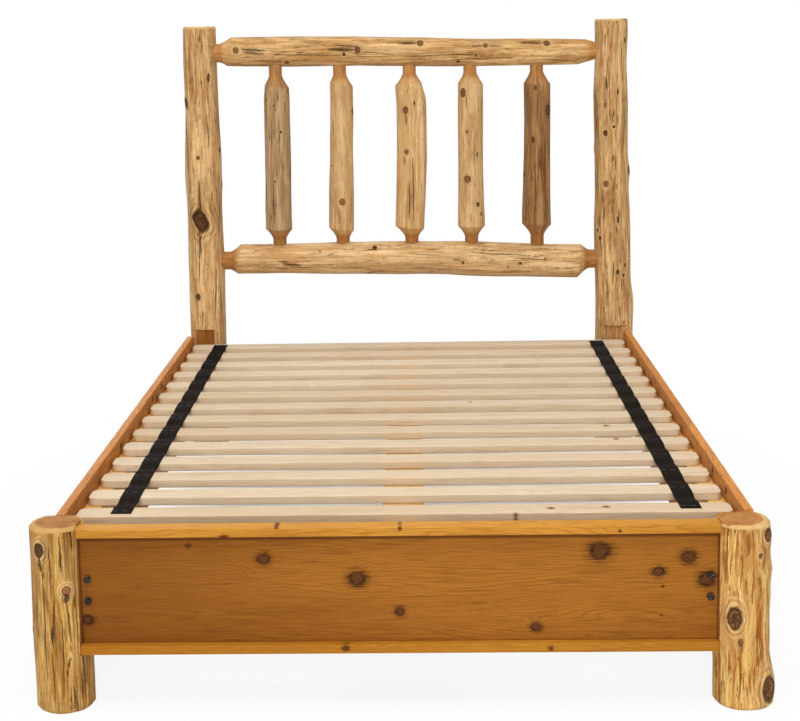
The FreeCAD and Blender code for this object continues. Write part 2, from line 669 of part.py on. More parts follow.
def make_slat(number):
    """A slat with round corners and eased edges; the first lies at the head."""
    place = ("0", "first_slat_y - slat_pitch * %d" % (number - 1), "slat_bottom")
    body = new_body("slat_%02d" % number, *place)
    sketch = sketch_on(body, "XY_Plane", "0")
    add_rectangle(sketch, "-slat_length / 2", "slat_length / 2", "-slat_width / 2", "slat_width / 2")
    pad = body.newObject("PartDesign::Pad", body.Name + "Pad")
    pad.Profile = sketch
    bind(pad, "Length", "slat_thickness")
    corners = round_edges(body, pad, lambda edge: runs_along(edge, "z"), "slat_corner_radius")
    round_edges(body, corners, lambda edge: runs_along(edge, "x"), "slat_edge_radius")


def slat_middles():
    """The slats' middles along the bed, from foot to head."""
    return [value("first_slat_y - slat_pitch * %d" % step) for step in reversed(range(SIZES["slat_count"]))]


def strap_edge(height, foot_to_head):
    """One edge of the webbing seen from the side: flat on each slat, and sagging between slats."""
    half, dip = value("slat_width / 2"), value("strap_dip")
    middles = slat_middles()
    edges = []
    for step, middle in enumerate(middles):
        start, end = FreeCAD.Vector(0, middle - half, height), FreeCAD.Vector(0, middle + half, height)
        edges.append(Part.LineSegment(start, end).toShape())
        if step + 1 < len(middles):
            low = FreeCAD.Vector(0, (middle + middles[step + 1]) / 2, height - dip)
            far = FreeCAD.Vector(0, middles[step + 1] - half, height)
            edges.append(Part.Arc(end, low, far).toShape())
    return edges if foot_to_head else edges[::-1]


def strap_turn(side):
    """The strap's turn about its middle: the right one runs a little inward towards the head."""
    slant = value("right_strap_slant") if side == "right" else 0
    run = value("slat_pitch") * (SIZES["slat_count"] - 1)
    middle_x = value("%d * (inner_width / 2 - strap_inset)" % SIDES[side]) - slant / 2
    middle = FreeCAD.Vector(middle_x, sum(slat_middles()) / SIZES["slat_count"], 0)
    return middle, math.degrees(math.atan2(slant, run))


def make_strap(side):
    low, high = value("slat_top"), value("slat_top + strap_thickness")
    foot, head = slat_middles()[0] - value("slat_width / 2"), slat_middles()[-1] + value("slat_width / 2")
    ends = [
        Part.LineSegment(FreeCAD.Vector(0, y, low), FreeCAD.Vector(0, y, high)).toShape() for y in (foot, head)
    ]
    outline = strap_edge(low, True) + [ends[1]] + strap_edge(high, False) + [ends[0]]
    wire = Part.Wire(Part.__sortEdges__(outline))
    width = value("strap_width")
    shape = Part.Face(wire).extrude(FreeCAD.Vector(width, 0, 0))
    middle, turn = strap_turn(side)
    shape.translate(FreeCAD.Vector(middle.x - width / 2, 0, 0))
    shape.rotate(middle, FreeCAD.Vector(0, 0, 1), turn)
    feature = doc.addObject("Part::Feature", "strap_" + side)
    feature.Label = "strap_" + side
    feature.Shape = shape
    nodes.append(feature)


def staple_shape():
    """A staple seen from the foot: a crown on the webbing and two legs that go down into the slat."""
    half, wire, leg = value("staple_crown / 2"), value("staple_wire"), value("staple_leg")
    outline = (
        (-half, wire), (half, wire), (half, -leg), (half - wire, -leg),
        (half - wire, 0), (wire - half, 0), (wire - half, -leg), (-half, -leg), (-half, wire),
    )
    corners = [FreeCAD.Vector(x, -wire / 2, z) for x, z in outline]
    return Part.Face(Part.makePolygon(corners)).extrude(FreeCAD.Vector(0, wire, 0))


def make_staples():
    staple = staple_shape()
    shapes = []
    for side in SIDES:
        middle, turn = strap_turn(side)
        for step in (-1, 1):
            for y in slat_middles():
                copy = staple.copy()
                x = middle.x + step * value("staple_spread") / 2
                copy.translate(FreeCAD.Vector(x, y, value("slat_top + strap_thickness")))
                copy.rotate(middle, FreeCAD.Vector(0, 0, 1), turn)
                shapes.append(copy)
    group("strap_staples", shapes)


def beam_screw_rows():
    return ("cleat_y", "0", "head_cross_y")


def make_centre_beam():
    middle_y = "(foot_plane + beam_end) / 2"
    place = ("0", middle_y, "beam_bottom")
    body = board("centre_beam", ("beam_width", "beam_length", "beam_thickness"), place, "board_edge_radius", "y")
    holes = [
        ("%d * beam_screw_spacing / 2" % step, "%s - %s" % (y, middle_y))
        for y in beam_screw_rows()
        for step in (-1, 1)
    ]
    drill(body, "XY_Plane", holes, "screw_radius + hole_clearance", "-overrun", "beam_thickness + overrun")
    drill(body, "XY_Plane", holes, "screw_head_radius + hole_clearance",
          "beam_thickness - screw_head_height - hole_clearance", "beam_thickness + overrun")


def drill_under_beam(body, top):
    """Blind holes from the top for the two screws that come down through the beam."""
    reach = "beam_screw_length + screw_head_height + 2 * hole_clearance - beam_thickness"
    holes = [("%d * beam_screw_spacing / 2" % step, "0") for step in (-1, 1)]
    drill(body, "XY_Plane", holes, "screw_radius + hole_clearance", "%s - (%s)" % (top, reach), top + " + overrun")


def make_beam_supports():
    leg = board("centre_leg", ("beam_width", "leg_thickness", "beam_bottom"), ("0", "0", "0"),
                "board_edge_radius", "z")
    drill_under_beam(leg, "beam_bottom")
    size = ("inner_width", "head_cross_thickness", "head_cross_height")
    cross = board("head_cross_rail", size, ("0", "head_cross_y", "ledger_bottom - head_cross_height"),
                  "board_edge_radius", "x")
    drill_under_beam(cross, "head_cross_height")
    heights = ["%s - ledger_bottom + head_cross_height" % z for z in rail_screw_places("cross")]
    holes = [("0", z) for z in heights]
    radius = "screw_radius + hole_clearance"
    inside = "inner_width / 2 + rail_thickness - rail_screw_length - hole_clearance"
    drill(cross, "YZ_Plane", holes, radius, inside, "inner_width / 2 + overrun")
    drill(cross, "YZ_Plane", holes, radius, "-inner_width / 2 - overrun", signed(-1, inside))
    size = ("cleat_length", "ledger_side", "ledger_side")
    cleat = board("beam_cleat", size, ("0", "cleat_y", "beam_bottom - ledger_side"), "board_edge_radius", "x")
    drill_under_beam(cleat, "ledger_side")
    holes = [("%d * cleat_screw_spacing / 2" % step, "ledger_side / 2") for step in (-1, 1)]
    drill(cleat, "XZ_Plane", holes, radius, "-ledger_side", "ledger_side")


def make_foot_bolts():
    """Bolts with their heads on the foot board, and washers and nuts behind the foot blocks."""
    block_back = "rail_foot_end + block_thickness"
    grip = "%s - foot_plane + foot_board_thickness" % block_back
    bolt = bolt_shape(value("%s + washer_thickness + nut_height + bolt_tip" % grip))
    washer = ring_shape(value("washer_radius"), value("bolt_radius + hole_clearance"), value("washer_thickness"))
    nut = hexagon_prism(value("nut_height")).cut(
        Part.makeCylinder(value("bolt_radius + hole_clearance"), value("nut_height"))
    )
    bolts, washers, nuts = [], [], []
    for sign in SIDES.values():
        for step in (-1, 1):
            x = "foot_shift + %d * foot_bolt_x" % sign
            z = "foot_board_middle + %d * bolt_spacing / 2" % step
            bolts.append(set_along(bolt, (0, -1, 0), x, "foot_plane - foot_board_thickness", z))
            washers.append(set_along(washer, (0, 1, 0), x, block_back, z))
            nuts.append(set_along(nut, (0, 1, 0), x, block_back + " + washer_thickness", z))
    group("foot_bolts", bolts)
    group("foot_washers", washers)
    group("foot_nuts", nuts)


def make_head_lag_bolts():
    """Lag bolts that hold the head blocks on the flat seats of the head posts."""
    block_front = "head_plane - block_thickness"
    lag = bolt_shape(value("washer_thickness + block_thickness + lag_depth"))
    washer = ring_shape(value("washer_radius"), value("bolt_radius + hole_clearance"), value("washer_thickness"))
    lags, washers = [], []
    for sign in SIDES.values():
        for step in (-1, 1):
            x, z = "%d * ledger_x" % sign, "block_middle + %d * lag_spacing / 2" % step
            lags.append(set_along(lag, (0, -1, 0), x, block_front + " - washer_thickness", z))
            washers.append(set_along(washer, (0, -1, 0), x, block_front, z))
    group("head_lag_bolts", lags)
    group("head_washers", washers)


def make_screws():
    ledger_screw = screw_shape(value("ledger_screw_length"))
    height = "ledger_bottom + ledger_side / 2"
    shapes = [
        set_along(ledger_screw, (-sign, 0, 0), "%d * (inner_width / 2 - ledger_side)" % sign, y, height)
        for sign in SIDES.values()
        for y in ledger_screw_places()
    ]
    shapes += [
        set_along(ledger_screw, (0, 1, 0), "%d * cleat_screw_spacing / 2" % step, "foot_plane + ledger_side",
                  "beam_bottom - ledger_side / 2")
        for step in (-1, 1)
    ]
    group("ledger_screws", shapes)
    rail_screw = screw_shape(value("rail_screw_length"))
    group("rail_screws", [
        set_along(rail_screw, (sign, 0, 0), "%d * (inner_width / 2 + rail_thickness)" % sign, y, z)
        for sign in SIDES.values()
        for name, y in RAIL_SCREW_ROWS
        for z in rail_screw_places(name)
    ])
    beam_screw = screw_shape(value("beam_screw_length"))
    group("beam_screws", [
        set_along(beam_screw, (0, 0, 1), "%d * beam_screw_spacing / 2" % step, y,
                  "slat_bottom - screw_head_height - hole_clearance")
        for y in beam_screw_rows()
        for step in (-1, 1)
    ])


def make_nails():
    """Brads, set a little under the surface, that hold the two strips to the board's edges."""
    nail = Part.makeCylinder(value("nail_radius"), value("nail_length"))
    y = "foot_plane - foot_board_thickness / 2"
    places = ["foot_shift + " + x for x in strip_nail_places()]
    group("cap_nails", [set_along(nail, (0, 0, -1), x, y, "foot_cap_top - nail_set") for x in places])
    group("strip_nails", [set_along(nail, (0, 0, 1), x, y, "foot_strip_bottom + nail_set") for x in places])


def make_parts():
    for side in SIDES:
        make_head_post(side)
    make_head_rail("top_rail", TOP_RAIL_SHARES, -1)
    make_head_rail("bottom_rail", BOTTOM_RAIL_SHARES, 1)
    for number, (place_share, shares) in enumerate(SPINDLE_SHARES, 1):
        make_spindle(number, place_share, shares)
    for side in SIDES:
        make_foot_post(side)
        make_side_rail(side)
        make_ledger(side)
        make_foot_block(side)
        make_head_block(side)
        make_strap(side)
    make_foot_board()
    make_foot_strip("foot_cap", "foot_board_top")
    make_foot_strip("foot_bottom_strip", "foot_strip_bottom")
    make_centre_beam()
    make_beam_supports()
    for number in range(1, SIZES["slat_count"] + 1):
        make_slat(number)
    make_staples()
    make_foot_bolts()
    make_head_lag_bolts()
    make_screws()
    make_nails()


def check_and_write():
    """Stops on a broken feature, and writes each node's STEP file."""
    doc.recompute()
    for item in doc.Objects:
        if any(word in item.State for word in ("Invalid", "Error")):
            raise RuntimeError("%s is in state %s" % (item.Label, item.State))
    os.makedirs("parts", exist_ok=True)
    for node in nodes:
        shape = node.Shape
        if shape.isNull() or not shape.isValid():
            raise RuntimeError("%s has no valid shape" % node.Label)
        shape.exportStep("parts/%s.step" % node.Label)
        box = shape.BoundBox
        print("%-20s %2d solid %10.1f cm3  x %.1f %.1f  y %.1f %.1f  z %.1f %.1f" % (
            node.Label, len(shape.Solids), shape.Volume / 1000,
            box.XMin, box.XMax, box.YMin, box.YMax, box.ZMin, box.ZMax))


fill_sheet()
make_parts()
check_and_write()
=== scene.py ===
# Rustic log bed: its looks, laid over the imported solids.
# Metres; X to the right seen from the foot, Y to the head, Z up. Plans give millimetres and degrees.
import math
import bpy
import numpy as np
from mathutils import Matrix, Vector


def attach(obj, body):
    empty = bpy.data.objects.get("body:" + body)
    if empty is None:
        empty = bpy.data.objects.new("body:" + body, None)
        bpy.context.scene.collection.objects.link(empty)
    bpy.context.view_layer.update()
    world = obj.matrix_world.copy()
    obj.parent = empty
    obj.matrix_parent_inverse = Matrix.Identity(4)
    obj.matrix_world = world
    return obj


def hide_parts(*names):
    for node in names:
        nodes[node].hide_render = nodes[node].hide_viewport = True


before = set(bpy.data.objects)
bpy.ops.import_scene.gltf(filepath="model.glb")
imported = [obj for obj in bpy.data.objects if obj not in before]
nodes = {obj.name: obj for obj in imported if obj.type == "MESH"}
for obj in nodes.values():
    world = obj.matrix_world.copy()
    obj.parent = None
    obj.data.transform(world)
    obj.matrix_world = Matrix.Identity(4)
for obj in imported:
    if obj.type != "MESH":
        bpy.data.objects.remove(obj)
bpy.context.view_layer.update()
scene = bpy.context.scene
mm = 0.001


def tint(red, green, blue):  # a tone as a screen shows it, 0 to 255, made linear
    steps = np.array([red, green, blue]) / 255
    linear = np.where(steps < 0.04045, steps / 12.92, ((steps + 0.055) / 1.055) ** 2.4)
    return tuple(float(part) for part in linear) + (1.0,)


class Field:  # a number, vector or colour on its way through a material
    def __init__(self, paint, socket):
        self.paint, self.socket = paint, socket

    def __add__(self, other):
        return self.paint.maths("ADD", self, other)

    def __sub__(self, other):
        return self.paint.maths("SUBTRACT", self, other)

    def __rsub__(self, other):
        return self.paint.maths("SUBTRACT", other, self)

    def __mul__(self, other):
        return self.paint.maths("MULTIPLY", self, other)

    def __truediv__(self, other):
        return self.paint.maths("DIVIDE", self, other)

    __radd__ = __add__


class Paint:  # the nodes of one material, or of the world
    def __init__(self, name, owner=None, tones=None):
        self.tones, self.colour = tones, None
        self.material = owner or bpy.data.materials.new(name)
        self.material.use_nodes = True
        self.tree = self.material.node_tree
        self.tree.nodes.clear()

    def node(self, kind, sockets, output=0, **settings):
        made = self.tree.nodes.new(kind)
        for key, value in settings.items():
            setattr(made, key, value)
        for key, value in sockets.items():
            if isinstance(value, Field):
                self.tree.links.new(value.socket, made.inputs[key])
            else:
                made.inputs[key].default_value = value
        return Field(self, made.outputs[output]) if made.outputs else None

    def maths(self, operation, *values):
        return self.node("ShaderNodeMath", dict(enumerate(values)), operation=operation)

    def stretch(self, place, by, shift):
        return self.node("ShaderNodeVectorMath", {0: place, 1: by, 2: shift}, operation="MULTIPLY_ADD")

    def noise(self, place, by, detail=2.0, rough=0.5, twist=0.0, shift=(0, 0, 0)):
        # by is its scale, one for all axes or one for each
        place = self.stretch(place, tuple(float(part) for part in np.broadcast_to(by, 3)), shift)
        return self.node("ShaderNodeTexNoise", {"Vector": place, "Scale": 1.0, "Detail": detail, "Roughness": rough,
                                                "Distortion": twist})

    def step(self, value, low, high, start=0.0, end=1.0):  # rises smoothly from start to end between low and high
        return self.node("ShaderNodeMapRange", {"Value": value, "From Min": low, "From Max": high, "To Min": start,
                                                "To Max": end}, interpolation_type="SMOOTHSTEP")

    def mix(self, share, first, second):
        return self.node("ShaderNodeMix", {0: share, 6: first, 7: second}, 2, data_type="RGBA")

    def lay(self, share, tone):  # a tone over the colour so far
        self.colour = self.mix(share, self.colour, self.tones[tone])

    def parts(self, place):  # a vector's three numbers
        split = self.node("ShaderNodeSeparateXYZ", {0: place})
        return [Field(self, output) for output in split.socket.node.outputs]

    def marked(self, name, output=2):  # a mark of the mesh: 2 for a number, 1 for a vector
        return self.node("ShaderNodeAttribute", {}, output, attribute_name=name)

    def here(self):  # the piece's own coordinates
        return self.node("ShaderNodeTexCoord", {}, 3)

    def finish(self, colour, rough, height, depth, strength, **plain):
        bump = self.node("ShaderNodeBump", {"Strength": strength, "Distance": depth, "Height": height})
        sockets = {"Base Color": colour, "Roughness": rough, "Specular IOR Level": 0.1, "Normal": bump}
        sockets.update({key.replace("_", " "): value for key, value in plain.items()})
        shader = self.node("ShaderNodeBsdfPrincipled", sockets)
        self.node("ShaderNodeOutputMaterial", {"Surface": shader})
        return self.material


def placed(name, data):
    made = bpy.data.objects.new(name, data)
    scene.collection.objects.link(made)
    return made


def closedTube(name, rings, poles, marks, material, body, sharp=38):
    # rings is rows by columns by 3, wound outwards; poles close its two ends
    rows, columns = rings.shape[:2]
    corner = np.arange(rows * columns).reshape(rows, columns)
    beside = np.roll(corner, -1, axis=1)
    sides = np.stack([corner[:-1], beside[:-1], beside[1:], corner[1:]], -1).reshape(-1, 4)
    first, last = rows * columns, rows * columns + 1
    low = np.stack([np.full(columns, first), beside[0], corner[0]], -1)
    high = np.stack([corner[-1], beside[-1], np.full(columns, last)], -1)
    points = np.vstack([rings.reshape(-1, 3), poles])
    mesh = bpy.data.meshes.new(name)
    mesh.from_pydata(points.tolist(), [], sides.tolist() + low.tolist() + high.tolist())
    for key, values in marks.items():
        wide = values.ndim == 3
        flat = values.reshape(rows * columns, -1)
        flat = np.vstack([flat, values[0].reshape(columns, -1).mean(0), values[-1].reshape(columns, -1).mean(0)])
        made = mesh.attributes.new(key, "FLOAT_VECTOR" if wide else "FLOAT", "POINT")
        made.data.foreach_set("vector" if wide else "value", flat.astype(np.float32).ravel())
    mesh.shade_smooth()
    mesh.set_sharp_from_angle(angle=math.radians(sharp))
    mesh.materials.append(material)
    piece = placed(name, mesh)
    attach(piece, body)
    return piece


def easedCurve(marks, place):
    # straight runs between the marks and level ones past them, then a running mean with a cosine weight
    reach = 45 * mm
    fine = np.arange(place.min() - 2 * reach, place.max() + 2 * reach, 2 * mm)
    weight = np.hanning(int(reach / mm))
    level = np.interp(fine, marks[:, 0], marks[:, 1])
    half = len(weight) // 2
    smooth = np.convolve(np.pad(level, half, "edge"), weight / weight.sum(), "same")
    return np.interp(place, fine, smooth[half:half + len(fine)])


def ripples(seed, along, around, turns, pace, count):
    # the mean of count waves cos(n * angle + k * place + phase), n up to turns and k up to pace per metre
    pick = np.random.default_rng(seed)
    n = pick.integers(0, turns + 1, count)[:, None, None]
    k = pick.uniform(-pace, pace, count)[:, None, None]
    phase = pick.uniform(0, 2 * math.pi, count)[:, None, None]
    return np.cos(n * around + k * along + phase).sum(0) / math.sqrt(count)


def logPiece(name, plan, material, replaced):
    # radius = body's radius about its wandering middle, plus ripples and swellings round the knots, kept inside
    # the turned necks and the flat cuts; the grain's place bends round each knot as water round a stone
    start, length = np.array([plan[key] for key in "xyz"]) * mm, plan["length"] * mm
    place = np.linspace(0, length, plan["rows"])
    for mark in plan.get("ledges", ()):  # a row close to each side of a flat's end keeps it sharp
        place = np.sort(np.append(place, [(mark - 0.1) * mm, (mark + 0.1) * mm]))
    chamfer = plan["chamfer"] * mm
    rim = np.array([0, 0.3 * chamfer, chamfer])
    inner = place[(place > 1.3 * chamfer) & (place < length - 1.3 * chamfer)]
    place = np.unique(np.concatenate([rim, inner, length - rim]))
    angle = np.linspace(0, 2 * math.pi, plan["columns"], endpoint=False)
    along, around = np.meshgrid(place, angle, indexing="ij")
    body = np.array(plan["body"], float) * mm
    girth = easedCurve(body[:, [0, 1]], place)[:, None]
    middle = [easedCurve(body[:, [0, key]], place)[:, None] for key in (2, 3)]
    radius, seed = girth, plan["seed"]
    for step, (share, *waves) in enumerate(((1.1, 3, 22, 9), (0.55, 9, 30, 16), (0.22, 22, 60, 26))):
        radius = radius + share * plan["wobble"] * mm * ripples(seed + step, along, around, *waves)

    def beside(line):  # how far round the girth each point is from the line
        return (np.mod(around - line + math.pi, 2 * math.pi) - math.pi) * girth

    farOff, crackZone = 9.0, 8.0  # where none is near: in a knot's own radii, in millimetres from a crack
    knot = np.full_like(along, farOff)
    dark, bend, cut = (np.zeros_like(along) for _ in range(3))
    for height, turn, size, depth, kind, tall in plan["knots"]:
        side = beside(math.radians(turn))
        power, skew = (1.3, 0.45) if size > 19 else (2, 0)  # the largest knot is a leaning diamond
        up = along - height * mm + skew * side
        far = (np.abs(up / (size * tall)) ** power + np.abs(side / size) ** power + 1e-12) ** (1 / power) / mm
        radius = radius + depth * mm * np.exp(-(far / 2.1) ** 2)
        if kind > 0.6:  # an open or rough knot sinks inside its rim
            radius = radius - 0.16 * size * mm * np.exp(-(far / 0.75) ** 4)
        bend = bend - side * np.minimum(1, 1.2 / np.maximum(far, 0.3) ** 2) * np.exp(-(far / 5) ** 2)
        dark = np.where(far < knot, kind, dark)
        knot = np.minimum(knot, far)
    for height, turn, reach, spread, rise in plan.get("lumps", ()):
        up, side = (along - height * mm) / (reach * mm), beside(math.radians(turn)) / (spread * mm)
        radius = radius + rise * mm * np.exp(-up ** 2 - side ** 2)
    crackSide, crackTip = np.full_like(along, crackZone), np.zeros_like(along)
    for height, turn, top, bearing, width in plan["cracks"]:
        share = np.clip((along - height * mm) / ((top - height) * mm), 0, 1)
        sway = 0.012 * np.sin(share * 7 + turn) + 0.006 * np.sin(share * 23 + height)
        line = math.radians(turn) + share * math.radians(bearing - turn) + sway
        side = beside(line) / mm
        past = np.maximum(np.maximum(height * mm - along, along - top * mm), 0)
        tip = np.where(np.abs(side) < crackZone, np.sin(share * math.pi) ** 0.7 * width * 0.8, 0) * (past == 0)
        nearer = (np.abs(side) < np.abs(crackSide)) & (tip > 0)
        crackSide, crackTip = np.where(nearer, side, crackSide), np.where(nearer, tip, crackTip)
        radius = radius - 0.5 * width * mm * np.exp(-(side / 2.2) ** 2) * (tip > 0.1) * np.sin(share * math.pi)
    cos, sin = np.cos(around), np.sin(around)
    lean = middle[0] * cos + middle[1] * sin
    offset = middle[0] ** 2 + middle[1] ** 2
    radius = lean + np.sqrt(np.maximum(radius ** 2 - offset + lean ** 2, 1e-8))
    for side, neck, plain, taper, cove in plan.get("necks", ()):  # a turned neck that flares out to the body
        gone = (along if side == "start" else length - along) - plain * mm
        cone = neck * mm + (np.maximum(gone, 0) / (taper * mm)) ** cove * (plan["flare"] * mm)
        cone = np.where(gone > 2.2 * taper * mm, length, cone)  # no limit past the neck
        cut = np.maximum(cut, np.clip((radius - cone) / (0.8 * mm) + 0.5, 0, 1))
        radius = np.minimum(radius, cone)
    for flat in plan.get("flats", ()):
        radius, face = flat(along, around, radius)
        cut = np.maximum(cut, face)
    radius = radius - 0.8 * np.maximum(chamfer - np.minimum(along, length - along), 0)
    across, back = np.array({"z": ((1, 0, 0), (0, 1, 0)), "x": ((0, 1, 0), (0, 0, 1))}[plan["axis"]])
    forward = np.cross(across, back)
    tilt = plan.get("tilt", 0) * (along / length - 0.5) * mm
    side = start + along[..., None] * forward + (radius * cos)[..., None] * across
    side = side + (radius * sin + tilt)[..., None] * back
    solid = np.array([nodes[replaced].matrix_world @ Vector(corner) for corner in nodes[replaced].bound_box])
    skin = 0.2 * mm  # how far the piece stays inside its solid's box
    least, most = solid.min(0) + skin, solid.max(0) - skin
    side = np.clip(side, least, most)
    caps = np.array([0.96, 0.85, 0.7, 0.5, 0.25])  # the rings of a cut end, as shares of its outline

    def cap(row, outward):
        hub = start + place[row] * forward + tilt[row, 0] * back
        ring = np.stack([hub + (side[row] - hub) * share for share in caps])
        swell = 0.35 * mm * ripples(seed + 5, ring[..., 0] * 900, around[:len(caps)], 4, 1, 9)
        ring = ring + outward * (swell * (1 - caps[:, None]) ** 0.5)[..., None] * forward
        return np.clip(ring, least, most), np.clip(hub, least, most)

    low, lowHub = cap(0, -1)
    high, highHub = cap(-1, 1)
    rings = np.concatenate([low[::-1], side, high])
    ends = len(caps)

    def grown(values):  # the first and the last row go on over the caps
        return np.concatenate([np.repeat(values[:1], ends, 0), values, np.repeat(values[-1:], ends, 0)])

    spin = around + bend / girth
    grain = np.stack([girth * np.cos(spin) + seed * 0.61, girth * np.sin(spin), along], -1)
    pith = np.concatenate([np.linalg.norm(low[::-1] - lowHub, axis=-1), radius,
                           np.linalg.norm(high - highHub, axis=-1)])
    sawn = np.pad(np.zeros_like(along), ((ends, ends), (0, 0)), constant_values=1)
    sawn[ends], sawn[-ends - len(rim):-ends] = 1, 1  # the bevel at the top is pale like the sapwood
    flat = np.stack([rings @ across, rings @ back, rings @ forward], -1)
    marks = {"knot": grown(knot), "dark": grown(dark), "crackSide": grown(crackSide), "crackTip": grown(crackTip),
             "cut": grown(cut), "grain": grown(grain), "sawn": sawn, "pith": pith, "flat": flat}
    piece = closedTube(name, rings, np.array([lowHub, highHub]), marks, material, "frame")
    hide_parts(replaced)


def logPaint(name, tones, seed):
    # wood = pale to warm by slow bands; light fibres, stains, brown streaks, flecks and dark ticks are noise
    # stretched along the grain and cut off at a threshold, most of them inside slow regions; a knot is a drawn
    # distance with whorls outside and a rough heart; turned necks go from cut wood to pale at their shoulders;
    # sawn ends have rings, and a pale rim past the heartwood
    p = Paint(name, tones=tones)
    grain = p.marked("grain", 1)
    place = p.stretch(grain, (1, 1, 1), (seed * 1.7, seed * 0.9, seed * 2.3))
    run = p.parts(grain)[2]
    bands = p.noise(place, (48, 48, 5), 3, 0.55)
    p.colour = p.mix(p.step(bands, 0.4, 0.6), tones["pale"], tones["warm"])
    light = p.noise(place, (150, 150, 9), 3, 0.6, shift=(2, 6, 4))
    p.lay(p.step(light, 0.5, 0.62) * 0.5, "light")
    mottle = p.noise(place, (85, 85, 24), 5, 0.72, 0.4, shift=(3, 1, 7))
    mottled = p.step(mottle, 0.5, 0.6)
    p.lay(mottled * tones["cloud"], "stain")
    fine = p.noise(place, (300, 300, 8), 3, 0.62)
    p.lay(p.step(fine, 0.46, 0.62) * tones["lines"], "streak")
    region = p.step(p.noise(place, (22, 22, 6), 3, shift=(5, 5, 5)), 0.43, 0.58)
    streak = p.noise(place, (105, 105, 6), 5, 0.62, 0.5)
    streaked = p.step(streak, 0.515, 0.565) * (region * 0.75 + 0.25)
    p.lay(streaked * tones["streaks"], "streak")
    vein = p.maths("ABSOLUTE", p.noise(place, (60, 60, 14), 4, 0.6, 1.2, shift=(6, 2, 8)) - 0.5)
    p.lay(p.step(vein, 0.012, 0.003) * tones["veins"] * region, "bark")
    fleck = p.noise(place, (170, 170, 22), 4, 0.62, shift=(9, 5, 2))
    p.lay(p.step(fleck, 0.565, 0.62) * (region * 0.8 + 0.2) * tones["flecks"], "bark")
    tick = p.noise(place, (215, 215, 15), 3, 0.55, shift=(1, 8, 4))
    ticks = p.step(tick, 0.61, 0.65) * p.step(region + mottled, 0.2, 1.0) * tones["ticks"]
    p.lay(ticks, "dark")
    grey = p.noise(place, (16, 16, 6), 4, 0.65, shift=(2, 9, 6))
    p.lay(p.step(grey, 0.52, 0.62) * tones["grey"], "weathered")
    speck = p.noise(place, (430, 430, 240), 2, 0.6)
    p.lay(p.step(speck, 0.5, 0.66) * 0.22, "streak")
    shape, dark, cut, sawn, pith, tip = map(p.marked, ("knot", "dark", "cut", "sawn", "pith", "crackTip"))
    flat = p.marked("flat", 1)
    rough = p.noise(flat, 260, 4, 0.7)
    soft = p.noise(flat, 80, 3, 0.6)
    distance = shape + (rough - 0.5) * 0.45 + (soft - 0.5) * 0.75
    whorl = p.step(p.maths("SINE", shape * 10 + soft * 8), -0.4, 0.8)
    around = p.step(distance, 3.0, 1.15)
    p.colour = p.mix(around * 0.75, p.colour, p.mix(whorl * 0.6, tones["halo"], tones["streak"]))
    smoke = p.step(distance, 3.2, 0.9) * p.step(streak, 0.47, 0.6)
    p.lay(smoke * (dark * 0.55 + 0.15), "bark")
    inner = p.step(p.maths("SINE", shape * 13 + rough * 3), -0.2, 0.9) * 0.4
    heart = p.mix(inner, p.mix(dark, tones["heartPale"], tones["heart"]), tones["bark"])
    heart = p.mix(p.step(distance, 0.75, 0.3) * 0.4, heart, tones["bark"])
    heart = p.mix(p.step(rough + soft * 0.5, 0.84, 0.68) * dark * 0.85, heart, tones["dark"])
    p.colour = p.mix(p.step(distance, 1.12, 0.85), p.colour, heart)
    line = p.step(distance, 0.72, 0.95) * p.step(distance, 1.35, 1.02)
    p.lay(line * (dark * 0.3 + 0.3 + p.step(soft, 0.4, 0.6) * 0.3), "dark")
    turned = p.noise(place, (70, 70, 20), 4, 0.65, shift=(4, 4, 1))
    neck = p.mix(p.step(turned, 0.4, 0.6), tones["cut"], tones["cutDeep"])
    shoulder = p.step(pith, tones["shoulder"][0] * mm, tones["shoulder"][1] * mm)
    neck = p.mix(shoulder * 0.85, neck, tones["coned"])
    neck = p.mix(p.step(fine, 0.44, 0.62) * 0.5 + p.step(streak, 0.52, 0.58) * 0.4, neck, tones["streak"])
    # a spindle's low neck, next to the bottom rail, is darker: partly painted shade, partly stain
    neck = p.mix(p.step(run, 0.088, 0.062) * tones["lowNeckShadeAndStain"], neck, tones["cutLowShadeAndStain"])
    p.colour = p.mix(cut, p.colour, neck)
    gap = p.maths("ABSOLUTE", p.marked("crackSide"))
    split = p.step(gap - tip + (rough - 0.5) * 2.4, 0.4, -0.3) * p.step(tip, 0.05, 0.3)
    singed = p.step(gap - tip * 2.2 + (rough - 0.5) * 3, 1.2, -0.6) * p.step(tip, 0.05, 0.3)
    p.lay(singed * 0.5, "bark")
    p.lay(split * tones["cracked"], "dark")
    warp = p.noise(flat, 24, 3)
    out = pith + (warp - 0.5) * 0.02
    rings = p.noise(p.node("ShaderNodeCombineXYZ", {0: out}), 260, 2, 0.7)
    endTone = p.mix(p.step(rings, 0.42, 0.58), tones["heartwood"], tones["heartDeep"])
    endTone = p.mix(p.step(warp, 0.35, 0.65) * 0.4, endTone, tones["cut"])
    rim = p.step(out, (tones["rim"] - 1.5) * mm, (tones["rim"] + 1.5) * mm)
    pale = p.mix(p.step(rings, 0.4, 0.6) * 0.5, tones["sapwood"], tones["warm"])
    endTone = p.mix(rim, endTone, pale)
    scratch = p.noise(flat, (60, 700, 60), 3)
    endTone = p.mix(p.step(scratch, 0.5, 0.66) * 0.3, endTone, tones["bark"])
    p.colour = p.mix(sawn, p.colour, endTone)
    height = fine * 0.5 + streak * 0.9 + rough * 0.2 + mottle * 0.6 - ticks * 0.9 - split * 2.2
    height = height - p.step(distance, 1, 0.6) * dark * (0.6 + rough * 1.6) * 1.6
    height = height + whorl * around * 0.5
    height = height * (1 - cut * 0.7)
    shine = p.step(bands, 0.3, 0.7, 0.55, 0.68) + ticks * 0.15 + sawn * 0.15
    return p.finish(p.colour, shine, height, 1.2 * mm, 0.85)


